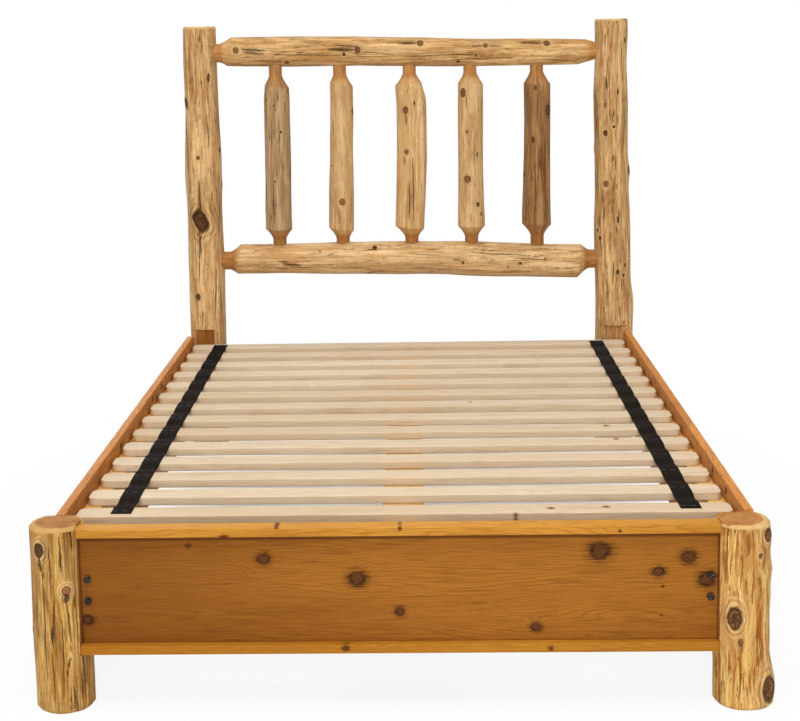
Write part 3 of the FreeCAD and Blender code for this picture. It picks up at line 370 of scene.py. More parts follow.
def tonesFor(pale, warm, streak, **changed):  # tones as a screen shows them, then shares and millimetres
    tones = {"pale": pale, "warm": warm, "streak": streak, "light": (238, 208, 158), "stain": (170, 118, 60),
             "bark": (112, 70, 32), "dark": (48, 31, 18), "weathered": (150, 128, 94), "halo": (222, 184, 126),
             "heart": (100, 62, 30), "heartPale": (166, 116, 72), "cut": (194, 141, 87), "cutDeep": (168, 114, 62),
             "coned": (208, 168, 116), "cutLowShadeAndStain": (132, 80, 34), "heartwood": (182, 128, 74),
             "heartDeep": (152, 100, 52), "sapwood": (220, 186, 130), "rim": 46, "shoulder": (900, 901),
             "cloud": 0.35, "lines": 0.35, "streaks": 0.55, "flecks": 0.6, "ticks": 0.8, "grey": 0.3, "veins": 0.35,
             "lowNeckShadeAndStain": 0.0, "cracked": 0.75, **changed}
    return {key: tint(*value) if np.size(value) == 3 else value for key, value in tones.items()}


def flatFace(radius, depth, facing, where):
    # the radius cut back to a plane at depth, and one where a point lies on the cut
    kept = np.where(where, np.minimum(depth * mm / np.maximum(facing, 1e-4), radius), radius)
    return kept, (kept < radius - 0.3 * mm).astype(float)


def frontOnly(depth, low, high, reach, sign):
    # the seat: in front of -depth the log is cut away between low and high, on the outer side up to reach past
    # the middle
    def cutter(along, around, radius):
        forward = np.maximum(-np.sin(around), 1e-4)
        inside = (np.sin(around) < 0) & (depth * mm / forward * np.cos(around) * -sign < reach * mm)
        return flatFace(radius, depth, forward, (along > low * mm) & (along < high * mm) & inside)
    return cutter


def backFlat(depth, low):  # the flat that the block lies against
    def cutter(along, around, radius):
        return flatFace(radius, depth, np.sin(around), (along > low * mm) & (np.sin(around) > 0))
    return cutter


def cornerNotch(offset, low, sign):
    # the front inner quarter beyond offset is cut away above low, where the foot board's end fits
    def cutter(along, around, radius):
        inner = np.cos(around) * -sign
        return flatFace(radius, offset, inner, (along > low * mm) & (inner > 0) & (np.sin(around) < -1e-6))
    return cutter


headPlane = 1014.5  # Y of the headboard's middle
blockLow, notchLow, seatTop = 105, 119, 412  # where the flats and the seats begin and end
headLog = {"axis": "z", "y": headPlane, "z": 0, "length": 1394, "rows": 430, "columns": 120, "wobble": 0.9,
           "chamfer": 5, "ledges": (blockLow, seatTop)}
headPosts = {
    "left": {
        "x": -658, "seed": 11, "shift": 1,
        "tones": tonesFor((220, 180, 127), (187, 142, 90), (146, 99, 52), flecks=0.55, grey=0.2,
                          cut=(148, 94, 34), cutDeep=(130, 76, 20)),
        "body": ((0, 58.5, -3, 0), (418, 58, -0.5, 1), (558, 57.5, 1.7, 1.5), (836, 57, 1.7, 1),
                 (1004, 58.5, 1.7, 0), (1171, 53.5, 3.4, -1), (1352, 53, 2.8, -0.5), (1394, 52, 2.8, 0)),
        "flats": [frontOnly(42, blockLow, seatTop, 24, -1)],
        "knots": ((771, 262, 27, 1.5, 1, 1.3), (976, 263, 5.5, 1.5, 0.5, 1.1), (521, 246, 8, 2.5, 0.8, 1.3),
                  (1232, 306, 4, 0.5, 0.9, 3.2), (998, 339, 5, 3, 0.7, 1.6), (1150, 219, 7, 3, 0.9, 2.2),
                  (1090, 120, 9, 3, 0.4, 1.3), (640, 60, 12, 4, 0.8, 1.4), (330, 150, 8, 3, 0.4, 1.2),
                  (880, 10, 8, 2, 0.3, 1.2)),
        "lumps": ((1165, 214, 26, 16, 4), (1120, 222, 20, 9, -3), (905, 185, 60, 22, 1.5),
                  (480, 200, 70, 30, 1.5)),
        "cracks": ((792, 266, 905, 262, 3), (690, 258, 760, 262, 4), (640, 256, 740, 261, 2),
                   (560, 250, 690, 258, 1.2), (440, 300, 620, 312, 1.4), (430, 330, 560, 325, 1.3),
                   (1000, 300, 1120, 296, 1.2), (930, 225, 1110, 212, 2), (720, 330, 860, 338, 1.1),
                   (1250, 236, 1340, 240, 1)),
    },
    "right": {
        "x": 670, "seed": 37, "shift": 21,
        "tones": tonesFor((214, 173, 119), (182, 137, 86), (143, 98, 52), flecks=0.75, grey=0.3,
                          cut=(196, 150, 98), cutDeep=(170, 122, 72)),
        "body": ((0, 61, 4.6, 0), (390, 60.4, 4, 0), (474, 61.5, 5.1, 0), (558, 58.7, 1.7, 1), (753, 58.1, -1.7, 1),
                 (836, 54.7, -2.3, 0.5), (976, 54.4, -5.7, 0), (1171, 54.2, -9.1, 0), (1255, 51.5, -9.1, 0),
                 (1352, 52.4, -5.7, 0), (1394, 51.3, -6.8, 0)),
        "flats": [frontOnly(42, blockLow, 407, 26, 1)],
        "knots": ((1033, 239, 6, 1, 0.8, 1.5), (870, 240, 9, 1.5, 0.3, 1.1), (1053, 266, 4, 0, 0.9, 1.2),
                  (1164, 280, 2.5, 0, 1, 4), (585, 280, 5, 0, 1, 1.4), (574, 301, 4.5, 0, 1, 1.2),
                  (606, 307, 3.5, 0, 0.9, 2), (694, 220, 4, 0.5, 0.8, 1.3), (719, 210, 5, 1, 0.4, 1.1),
                  (754, 280, 3, 0, 0.9, 3.5), (911, 337, 9, 3, 0.5, 1.6), (1326, 312, 4, 1.5, 0.9, 2),
                  (1130, 100, 9, 3, 0.6, 1.3), (760, 75, 12, 3.5, 0.7, 1.3), (430, 130, 8, 2.5, 0.4, 1.2),
                  (980, 170, 6, 2, 0.4, 1.2)),
        "lumps": ((905, 350, 34, 18, 3), (480, 352, 42, 26, 3.5), (620, 200, 60, 30, 1.2)),
        "cracks": ((1170, 245, 1215, 240, 1.6), (1080, 262, 1110, 268, 1.5), (940, 262, 965, 266, 1.8),
                   (730, 285, 790, 283, 1.4), (540, 262, 620, 268, 1.2), (470, 250, 570, 246, 1.2),
                   (1240, 300, 1330, 296, 1), (630, 225, 700, 221, 1.3), (410, 300, 425, 301, 1.6)),
    },
}
for side, plan in headPosts.items():
    paint = logPaint("peeledHeadPost" + side.capitalize(), plan["tones"], plan["shift"])
    logPiece("peeled_head_post_" + side, {**headLog, **plan}, paint, "head_post_" + side)
print("head posts made")


def footFlats(sign):
    return [cornerNotch(43.5, notchLow, sign), backFlat(45, blockLow)]


footLog = {"axis": "z", "y": -972.5, "z": 0, "rows": 190, "columns": 176, "wobble": 0.8, "chamfer": 6,
           "ledges": (blockLow, notchLow)}
footPosts = {
    "left": {
        "x": -705.5, "length": 392, "seed": 5, "shift": 2,
        "tones": tonesFor((206, 162, 90), (168, 121, 56), (118, 74, 26), heart=(122, 80, 42), streaks=0.8,
                          flecks=0.7, ticks=0.95, grey=0.18, light=(234, 196, 124), veins=0.2,
                          stain=(156, 104, 42), heartwood=(156, 101, 42), sapwood=(194, 156, 96),
                          heartDeep=(130, 81, 36)),
        "body": ((0, 59.7, 1.2, 0), (137, 59.7, -0.6, 0.6), (223, 57.1, -3.2, 0.6), (282, 57.1, -3.2, 0),
                 (392, 55.7, -2.9, 0)),
        "flats": footFlats(-1),
        "knots": ((349, 242, 9.5, 3.6, 1, 1.5), (263, 294, 9, 5, 0.1, 1.05), (170, 200, 7, 1.2, 0.5, 1.2),
                  (80, 120, 9, 3, 0.6, 1.3)),
        "lumps": ((351, 241, 34, 16, 2.4), (300, 236, 20, 8, -1.5)),
        "cracks": ((60, 248, 330, 244, 0.9), (20, 262, 140, 260, 0.8), (150, 265, 250, 268, 1.2),
                   (10, 300, 60, 301, 1.2), (70, 281, 210, 283, 0.8), (270, 262, 360, 263, 0.8),
                   (20, 318, 90, 316, 1), (120, 312, 230, 315, 1), (300, 286, 380, 284, 1.6),
                   (286, 246, 338, 242, 4), (236, 293, 258, 294, 6), (150, 299, 240, 294, 1.4),
                   (30, 325, 130, 323, 2.2), (60, 332, 300, 328, 1.2)),
    },
    "right": {
        "x": 684.5, "length": 387, "seed": 23, "shift": 3,
        "tones": tonesFor((222, 182, 108), (193, 145, 77), (154, 90, 30), heart=(142, 98, 56), streaks=1.0,
                          flecks=1.0, ticks=0.6, cloud=0.5, cracked=0.2, bark=(136, 80, 30), grey=0.06, rim=47,
                          veins=0.2, light=(240, 208, 142), stain=(184, 122, 52), heartwood=(180, 122, 64),
                          sapwood=(206, 172, 116), heartDeep=(150, 96, 46)),
        "body": ((0, 60.3, 11.6, 0), (39, 60.9, 11, 0), (70, 59.2, 9.3, 0), (97, 58, 8.1, 0), (135, 59.2, 4.6, 0),
                 (194, 58, 3.5, 0), (232, 58.6, 5.8, 0), (271, 59.2, 7, 0.6), (306, 57.4, 5.2, 0),
                 (348, 59.7, 5.8, 0), (387, 56.3, 4.1, 0)),
        "flats": footFlats(1),
        "knots": ((197, 252, 13, 4.5, 1, 1.7), (365, 319, 10, 3, 0.9, 1.3), (41, 322, 14, 3.5, 1, 1.8),
                  (324, 303, 4.5, 0.5, 0.6, 1.3), (146, 264, 5, 1.2, 0.3, 1.6), (90, 80, 9, 3, 0.5, 1.2)),
        "lumps": ((362, 322, 18, 17, 5), (352, 292, 60, 5, -2.4), (322, 338, 10, 16, -3), (289, 335, 14, 14, 4),
                  (250, 340, 18, 16, -2.5), (197, 252, 34, 26, 1), (45, 340, 30, 22, 4), (110, 345, 18, 22, -2)),
        "cracks": ((325, 276, 375, 278, 2.6), (255, 262, 330, 266, 1.2), (20, 262, 90, 266, 1.2),
                   (90, 300, 180, 296, 1.2), (225, 286, 300, 288, 1.4), (280, 240, 330, 243, 1),
                   (60, 238, 130, 240, 1), (120, 268, 150, 262, 2)),
    },
}
for side, plan in footPosts.items():
    paint = logPaint("peeledFootPost" + side.capitalize(), plan["tones"], plan["shift"])
    logPiece("peeled_foot_post_" + side, {**footLog, **plan}, paint, "foot_post_" + side)
print("foot posts made")

railLog = {"axis": "x", "x": -643, "y": headPlane, "length": 1298, "rows": 420, "chamfer": 3}
headRails = {
    "top": {
        "z": 1301, "columns": 100, "seed": 51, "shift": 4, "wobble": 1.0, "flare": 19, "tilt": -15,
        "tones": tonesFor((218, 178, 122), (186, 141, 85), (148, 98, 48), flecks=0.5, cloud=0.4, grey=0.25,
                          ticks=0.7, shoulder=(30, 38)),
        "necks": (("start", 29.5, 50, 36, 1.3), ("end", 27, 42, 64, 1.0)),
        "body": ((96, 49.7, 0, 7), (430, 47.4, 1, 4), (760, 45, 0, -2), (1220, 42.8, 0, -7)),
        "knots": ((109, 169, 9.5, 2, 0.35, 0.9), (270, 222, 9, 2, 0.4, 0.8), (497, 171, 11, 2.5, 0.6, 0.8),
                  (454, 186, 6, 1, 0.9, 0.8), (697, 141, 11, 2, 0.5, 0.9), (905, 154, 8, 1.5, 0.4, 0.8),
                  (1099, 141, 11, 2, 0.6, 0.9), (817, 223, 5, 1, 0.8, 1), (873, 197, 4, 0.5, 0.7, 1),
                  (600, 330, 9, 2, 0.5, 1), (960, 20, 9, 2, 0.5, 1), (300, 40, 8, 2, 0.4, 1)),
        "cracks": ((122, 164, 205, 171, 2.6), (128, 178, 200, 184, 2), (400, 167, 490, 170, 4),
                   (420, 150, 500, 156, 2), (225, 186, 640, 200, 0.6), (505, 176, 620, 190, 0.8),
                   (620, 138, 690, 141, 4), (1010, 136, 1090, 141, 3.6), (650, 196, 900, 190, 0.8),
                   (860, 158, 905, 156, 1.2), (905, 156, 960, 158, 1.1), (780, 215, 1000, 205, 1),
                   (1080, 216, 1180, 220, 1.2)),
    },
    "bottom": {
        "z": 627, "columns": 108, "seed": 67, "shift": 5, "wobble": 1.1, "flare": 24, "tilt": -12,
        "tones": tonesFor((224, 188, 138), (196, 152, 100), (160, 112, 62), lines=0.22, streaks=0.3, flecks=0.5,
                          cloud=0.3, grey=0.25, ticks=0.8, veins=0.8, cut=(170, 118, 64), cutDeep=(142, 92, 42),
                          shoulder=(35, 47)),
        "necks": (("start", 29.5, 66, 34, 1.35), ("end", 30, 62, 32, 1.4)),
        "body": ((98, 48, 0, 5), (380, 51, 1, 7), (570, 53.5, 0, 7), (780, 54.6, 0, 5), (980, 55, 0, -1),
                 (1210, 55, 0, -9)),
        "knots": ((540, 128, 7, 0.6, 0.9, 1), (1010, 186, 4, 0, 0.9, 1), (825, 183, 4, 0, 0.7, 1),
                  (971, 200, 3, 0, 0.9, 1), (1090, 172, 3, 0, 0.8, 1), (362, 139, 3, 0, 0.7, 1),
                  (700, 320, 9, 2, 0.4, 1), (250, 30, 9, 2, 0.5, 1)),
        "cracks": ((240, 187, 300, 193, 3.6), (225, 176, 262, 178, 1.6), (500, 140, 560, 133, 1.4),
                   (860, 150, 1030, 158, 0.8), (980, 168, 1100, 176, 0.8), (560, 206, 900, 212, 0.9),
                   (1010, 140, 1120, 138, 0.7), (640, 150, 760, 160, 0.7), (150, 205, 420, 200, 0.8)),
    },
}
for label, plan in headRails.items():
    paint = logPaint("peeled%sRail" % label.capitalize(), plan["tones"], plan["shift"])
    logPiece("peeled_%s_rail" % label, {**railLog, **plan}, paint, "head_%s_rail" % label)
print("headboard rails made")

spindleLog = {"axis": "z", "y": headPlane, "z": 641, "length": 646, "rows": 230, "columns": 84, "chamfer": 2,
              "flare": 20, "wobble": 0.8, "necks": (("start", 21.5, 60, 32, 1.5), ("end", 21, 54, 38, 1.3))}
spindles = {
    1: {
        "x": -413.6, "seed": 71,
        "tones": tonesFor((188, 156, 115), (162, 129, 93), (128, 96, 62), streaks=0.4, flecks=0.35, grey=0.5,
                          ticks=0.9, cloud=0.15, light=(200, 168, 126), coned=(178, 132, 88)),
        "body": ((95, 42.4, -1.7, 0), (330, 41.2, 0, 0), (520, 42, 2.9, 0), (556, 39, 3.8, 0)),
        "knots": ((412, 292, 3.5, 0.6, 1, 1.1), (497, 265, 2.5, 0, 1, 1.5), (515, 222, 3, 0, 1, 2),
                  (253, 260, 2.2, 0, 0.9, 1.5)),
        "cracks": ((120, 250, 300, 252, 0.7), (330, 285, 470, 283, 0.6), (430, 224, 540, 220, 1)),
    },
    2: {
        "x": -206.5, "seed": 83,
        "tones": tonesFor((211, 175, 126), (189, 149, 102), (162, 116, 66), lines=0.22, light=(226, 194, 144),
                          streaks=0.25, flecks=0.25, grey=0.1, ticks=0.3, cloud=0.25),
        "body": ((95, 40.7, -4.2, 0), (205, 40.7, -2.5, 0), (320, 37.4, 0.8, 0), (510, 37.4, 4.2, 0),
                 (646, 37.8, 3.4, 0)),
        "knots": ((183, 273, 9.5, 1.2, 0.25, 1.15), (474, 345, 8, 2, 0.5, 1.1), (610, 306, 4, 0, 0.5, 1.6),
                  (300, 220, 3, 1, 0.6, 1.5)),
        "cracks": ((110, 255, 160, 258, 0.8), (390, 232, 450, 230, 1)),
    },
    3: {
        "x": 18, "seed": 97, "flare": 24,
        "tones": tonesFor((224, 192, 145), (199, 159, 107), (182, 124, 60), lines=0.22, streaks=0.5, flecks=0.25,
                          grey=0.12, ticks=0.3, cloud=0.25),
        "body": ((95, 47, -6.7, 0), (190, 48.7, -0.8, 0), (350, 48.7, 5, 0), (515, 48.3, 4.2, 0), (556, 42, -5, 0)),
        "knots": ((476, 252, 8.5, 1, 0.5, 1.35), (342, 255, 7, 0.8, 0.35, 1.05), (498, 287, 2.2, 0, 1, 4),
                  (200, 120, 8, 2, 0.4, 1.2)),
        "cracks": ((425, 256, 470, 252, 1.8), (120, 262, 250, 264, 2.2), (110, 280, 330, 278, 1.6),
                   (300, 244, 330, 246, 1.2)),
    },
    4: {
        "x": 212.5, "seed": 103,
        "tones": tonesFor((216, 180, 131), (194, 154, 104), (164, 116, 68), lines=0.22, light=(230, 198, 148),
                          streaks=0.3, flecks=0.35, grey=0.12, ticks=0.4, cloud=0.25),
        "body": ((95, 44, 0, 0), (210, 42.4, -0.4, 0), (350, 40.7, -0.4, 0), (556, 40.3, 1.3, 0)),
        "knots": ((528, 235, 8.5, 2, 0.5, 1.7), (403, 251, 3.5, 0, 0.6, 1.3), (251, 253, 10, 2.2, 0.35, 1.1),
                  (168, 299, 6.5, 1, 0.6, 1.2), (136, 316, 3, 0, 1, 2.4), (618, 276, 4.5, 0, 0.8, 1.1),
                  (44, 265, 3.5, 0, 0.8, 1.1), (330, 300, 2.5, 0, 0.8, 2.5)),
        "cracks": ((470, 252, 520, 250, 1), (300, 284, 360, 286, 1)),
    },
    5: {
        "x": 425.6, "seed": 113,
        "tones": tonesFor((166, 124, 80), (134, 94, 56), (98, 66, 36), streaks=0.6, flecks=0.8, grey=0.3,
                          ticks=0.9, cloud=0.4, weathered=(136, 114, 88), halo=(150, 108, 66),
                          light=(184, 142, 96), coned=(172, 126, 80)),
        "body": ((95, 47, -1.7, 0), (210, 43.7, -1.7, 0), (350, 42, 0.8, 0), (556, 42, 1.7, 0)),
        "knots": ((467, 320, 8, 2, 0.9, 2), (373, 250, 5, 0, 0.7, 2), (540, 262, 4, 0, 0.6, 1.4),
                  (260, 200, 6, 1, 0.6, 1.3)),
        "cracks": ((110, 305, 420, 300, 1.6), (130, 262, 300, 258, 1), (240, 285, 360, 283, 0.9),
                   (420, 268, 530, 270, 0.8)),
    },
}
for number, plan in spindles.items():
    # the spindles darken their low neck: partly painted shade, partly stain
    tones = {**plan["tones"], "shoulder": (23, 32), "lowNeckShadeAndStain": 0.5}
    paint = logPaint("peeledSpindle%d" % number, tones, 5 + number)
    logPiece("peeled_spindle_%d" % number, {**spindleLog, **plan}, paint, "head_spindle_%d" % number)
print("spindles made")


def boardPaint(name, along, heart, knots, spacing, seed, line, repeat=None, fade=None, shadedEdges=None):
    # growth rings are cylinders round a pith line at heart, which wanders along the board; each knot adds a hump,
    # so that the rings close round it. along is the long axis; a knot is a place in millimetres, a radius and a
    # share of colour: at -4 it bends the rings alone. fade darkens one end. The last argument places painted shade
    # at the board's two ends beside the posts and in a band under the cap
    blotchy, *shades = boardTones[name]
    tones = {key: tint(*shade) for key, shade in zip(("pale", "warm", "line", "dark", "knot", "knotEdgeAndShade"), shades)}
    p = Paint(name, tones=tones)
    here = p.here()
    whole = dict(zip("xyz", p.parts(here)))
    lengthwise = whole[along]
    if along == "y":  # the left and the right board have their own knots
        lengthwise = lengthwise + p.maths("SIGN", whole["x"]) * 0.45
    split = dict(whole)
    shift = (seed * 3.1, seed * 1.7, seed * 2.9)
    if repeat:  # the same cut at every pitch, with its own noise for each board
        first, pitch = repeat
        turn = (split["y"] - first) / pitch
        number = p.maths("FLOOR", turn + 0.5)
        split["y"] = (turn - number) * pitch
        shift = p.node("ShaderNodeCombineXYZ", {0: number * 7.3 + seed, 1: number * 3.7, 2: number * 1.9})
    lies = np.array([key == along for key in "xyz"])
    grow, near = np.where(lies, 1, 7), np.where(lies, 9, 300)
    wander = [p.noise(here, grow * size, 2, 0.4, shift=shift) for size in (1.0, 2.3)]
    ripple = p.noise(here, grow * 4, 2, shift=shift)
    cross = [split[key] for key in "xyz" if key != along]
    side = cross[1] - heart[1] + (wander[0] - 0.5) * 0.12
    deep = cross[0] - heart[0] + (wander[1] - 0.5) * 0.16
    field = p.maths("SQRT", side * side + deep * deep) / (spacing * mm) + (ripple - 0.5) * 0.5
    shade = None
    grit = p.noise(here, 330, 4, 0.7)
    lump = p.noise(here, 90, 2, 0.6)
    for x, across, size, kind in knots:
        wide = (lengthwise - x * mm) / (size * 1.15 * mm)
        tall = (whole["y" if repeat else "z"] - across * mm) / (size * mm)
        away = p.maths("SQRT", wide * wide + tall * tall)
        field = field + p.maths("EXPONENT", away * away * -0.22) * (1.6 * size / spacing)
        fuzzy = away + (grit - 0.5) * 0.6 + (lump - 0.5) * 0.9
        closest = fuzzy + (1 - kind) * 0.5
        shade = closest if shade is None else p.maths("MINIMUM", shade, closest)
    lines = p.step(p.maths("SINE", field * (2 * math.pi)), 0.1, 1.0)
    slow = p.noise(here, grow * 0.8, 3, shift=(5, 5, 5))
    tone = p.step(slow, 0.35, 0.65)
    if repeat:
        tone = tone * 0.5 + p.node("ShaderNodeTexWhiteNoise", {"W": number}, noise_dimensions="1D") * 0.5
    p.colour = p.mix(tone, tones["pale"], tones["warm"])
    if fade:
        p.lay(p.step(split[along], fade[1], fade[0]) * 0.45, "line")
    p.lay(lines * line, "line")
    pores = p.noise(here, near * 1.6, 3, 0.6, shift=shift)
    p.lay(p.step(pores, 0.45, 0.62) * (line * 0.8 + 0.1), "line")
    blotch = p.noise(here, grow * 3, 4, 0.7, shift=(8, 2, 4))
    p.lay(p.step(blotch, 0.54, 0.68) * blotchy, "line")
    dash = p.noise(here, near, 2, shift=(7, 3, 1))
    p.lay(p.step(dash, 0.68, 0.73) * 0.4, "dark")
    if shadedEdges:  # painted shade at the board's ends beside the posts and in a band under the cap
        paintedShade = p.maths("MAXIMUM", p.step(split["x"], shadedEdges[0] + 0.003, shadedEdges[0] - 0.001),
                         p.step(split["x"], shadedEdges[1] - 0.001, shadedEdges[1] + 0.003))
        paintedShade = p.maths("MAXIMUM", paintedShade * 0.7, p.step(split["z"], shadedEdges[2] - 0.004, shadedEdges[2] + 0.001) * 0.7)
        p.lay(paintedShade, "knotEdgeAndShade")
    height = lines * 0.3 + pores * 0.6
    if shade is not None:  # a glow, a brown heart with rings in it, and a dark broken outline
        glow = p.step(shade, 2.5, 0.95) * (0.1 + p.step(pores, 0.35, 0.65) * 0.9)
        p.lay(glow, "knotEdgeAndShade")
        rings = p.step(p.maths("SINE", shade * 12 + lump * 6), -0.2, 0.9) * 0.3
        core = p.step(shade, 1.2, 0.8)
        p.colour = p.mix(core, p.colour, p.mix(rings + p.step(grit, 0.5, 0.64) * 0.4, tones["knot"], tones["dark"]))
        outline = p.step(shade, 0.5, 0.95) * p.step(shade, 1.45, 1.05)
        p.lay(outline * (0.35 + p.step(lump, 0.42, 0.62) * 0.5), "dark")
        height = height - core * grit * 1.5
    shine = 0.62 - lines * 0.05 + pores * 0.15
    return p.finish(p.colour, shine, height, 0.35 * mm, 0.6, Specular_IOR_Level=0.02 if repeat else 0.1)


boardTones = {  # the share of blotches; pale, warm, line, dark, knot and its edge, which also tints painted shade
    "footBoardPine": (0.2, (163, 104, 36), (146, 89, 26), (102, 55, 10), (44, 22, 6), (98, 56, 24), (78, 40, 10)),
    "stripPine": (0.4, (196, 138, 53), (176, 118, 38), (148, 86, 16), (60, 30, 6), (110, 66, 20), (90, 48, 12)),
    "lowStripPine": (0.4, (186, 129, 44), (167, 110, 31), (140, 80, 12), (60, 30, 6), (104, 62, 18), (86, 46, 10)),
    "sideRailPine": (0.4, (212, 143, 74), (184, 117, 55), (126, 72, 30), (50, 24, 8), (96, 50, 18), (78, 38, 12)),
    "ledgerPine": (0.3, (222, 180, 104), (204, 156, 78), (176, 124, 54), (96, 58, 22), (130, 84, 36),
                   (120, 76, 30)),
    "slatAspen": (0.3, (217, 197, 170), (203, 179, 148), (176, 147, 110), (104, 68, 38), (120, 76, 40),
                  (150, 104, 62)),
    "framingPine": (0.3, (206, 164, 102), (184, 140, 80), (150, 104, 50), (84, 50, 22), (120, 76, 36),
                    (104, 62, 26)),
}
footBoardKnots = ((-436, 344, 4, 0.8), (-283, 315, 10, 1), (-92, 271, 13.5, 1), (-6, 201, 8, 1),
                  (-648, 188, 9, 1), (401, 326, 16, 1), (520, 282, 9, 1), (580, 312, 11, 1), (616, 264, 13, 1),
                  (271, 166, 8, 1), (402, 270, 11, -4), (-567, 262, 14, -4), (-306, 268, 13, -4),
                  (528, 250, 2, 0.8), (526, 190, 2, 0.8))
stripKnots = ((-117, 131, 5, 1), (-253, 388, 3, 0.9), (-3, 383, 3, 0.8), (439, 374, 3, 0.6), (-360, 366, 6, 0.5),
              (300, 128, 4, 0.6))
sideKnots = ((742, 375, 5, 0.9), (-132, 374, 6, 1), (-290, 373, 6, 1), (-751, 371, 6, 0.8), (-330, 240, 9, 0.8),
             (250, 300, 8, 0.7))
slatKnots = ((315, -837, 5, 1), (432, -831, 5, 1), (239, -872, 4, 1), (-194, -532, 4, 0.6), (175, 112, 4, 0.5),
             (512, -155, 5, 1), (521, -285, 5, 1))
slatRun = {"first": 905.75, "pitch": 134, "half": 31.75, "top": 368.1}
dress = {
    # the foot board's last three numbers place painted shade: at its two ends and in a band under the cap
    "foot_board": boardPaint("footBoardPine", "x", (-0.92, 0.08), footBoardKnots, 5, 1, 0.3, fade=(-0.6, -0.05),
                             shadedEdges=(-0.659, 0.637, 0.3565)),
    "foot_cap": boardPaint("stripPine", "x", (-0.96, 0.30), stripKnots, 4, 2, 0.35),
    "foot_strip": boardPaint("lowStripPine", "x", (-0.94, 0.06), stripKnots, 4, 7, 0.35),
    "side_rail": boardPaint("sideRailPine", "y", (0.0, 0.25), sideKnots, 5, 3, 0.4),
    "ledger": boardPaint("ledgerPine", "y", (0.2, 0.3), (), 4, 4, 0.4),
    "framing": boardPaint("framingPine", "x", (0.1, 0.2), (), 4, 5, 0.4),
    "slat": boardPaint("slatAspen", "x", (0.02, 0.24), slatKnots, 4, 6, 0.2,
                       (slatRun["first"] * mm, slatRun["pitch"] * mm)),
}


def metalPaint(name, tone, wearAndGlint, rough, metallic):
    # a dark or bright finish with a second tone where a coarse noise peaks, worn through on the screws and staples
    # and a painted glint on the bolts; fine scratches in its roughness
    p = Paint(name)
    here = p.here()
    patch = p.noise(here, 420, 4, 0.6)
    colour = p.mix(p.step(patch, 0.55, 0.7), tone, wearAndGlint)
    fine = p.noise(here, (2400, 600, 600), 2)
    return p.finish(colour, rough + fine * 0.15, patch, 0.1 * mm, 0.4, Metallic=metallic)


# the bolts' pale second tone is painted glints on the dark steel
dress["bolt"] = metalPaint("blackenedSteel", tint(42, 35, 28), tint(174, 160, 140), 0.3, 0.7)
dress["screw"] = metalPaint("zincSteel", tint(176, 166, 140), tint(120, 110, 92), 0.32, 0.95)
dress["staple"] = metalPaint("stapleSteel", tint(70, 68, 66), tint(44, 42, 40), 0.5, 0.8)

wears = {  # what each material goes on, by the start of its name
    "foot_board": ("foot_board",), "foot_cap": ("foot_cap",), "foot_strip": ("foot_bottom_strip",),
    "side_rail": ("side_rail_",), "ledger": ("ledger_left", "ledger_right"), "slat": ("slat_",),
    "framing": ("foot_block_", "head_block_", "centre_", "head_cross_rail", "beam_cleat"),
    "bolt": ("foot_bolts", "foot_washers", "foot_nuts", "head_lag_bolts", "head_washers"),
    "screw": ("ledger_screws", "rail_screws", "beam_screws", "cap_nails", "strip_nails"),
    "staple": ("strap_staples",),
}
for name, node in nodes.items():
    for key, starts in wears.items():
        if name.startswith(starts):
            node.data.materials.clear()
            node.data.materials.append(dress[key])
print("boards, slats and fastenings dressed")


def strapPaint():
    # black webbing: ribs across and lengthwise rows from sines of the strap's own coordinates; peaks flecked pale
    p = Paint("blackWebbing")
    run, width, _ = p.parts(p.marked("weave", 1))
    rowPitch, ribPitch = 5.5 * mm, 7 * mm
    row = p.maths("SINE", width * (2 * math.pi / rowPitch))
    rib = p.maths("SINE", run * (2 * math.pi / ribPitch) + row * 1.4)
    cloth = p.step(row, -0.4, 0.8) * 0.6 + p.step(rib, -0.6, 0.9) * 0.4
    paleFlecks = p.noise(p.marked("weave", 1), (110, 330, 1), 4, 0.75)
    colour = p.mix(cloth, tint(5, 3, 2), tint(31, 24, 18))
    colour = p.mix(p.step(paleFlecks, 0.52, 0.64) * cloth * 0.5, colour, tint(104, 90, 74))
    return p.finish(colour, 0.85 + paleFlecks * 0.1, cloth + paleFlecks * 0.3, 0.7 * mm, 1.0, Specular_IOR_Level=0.03)


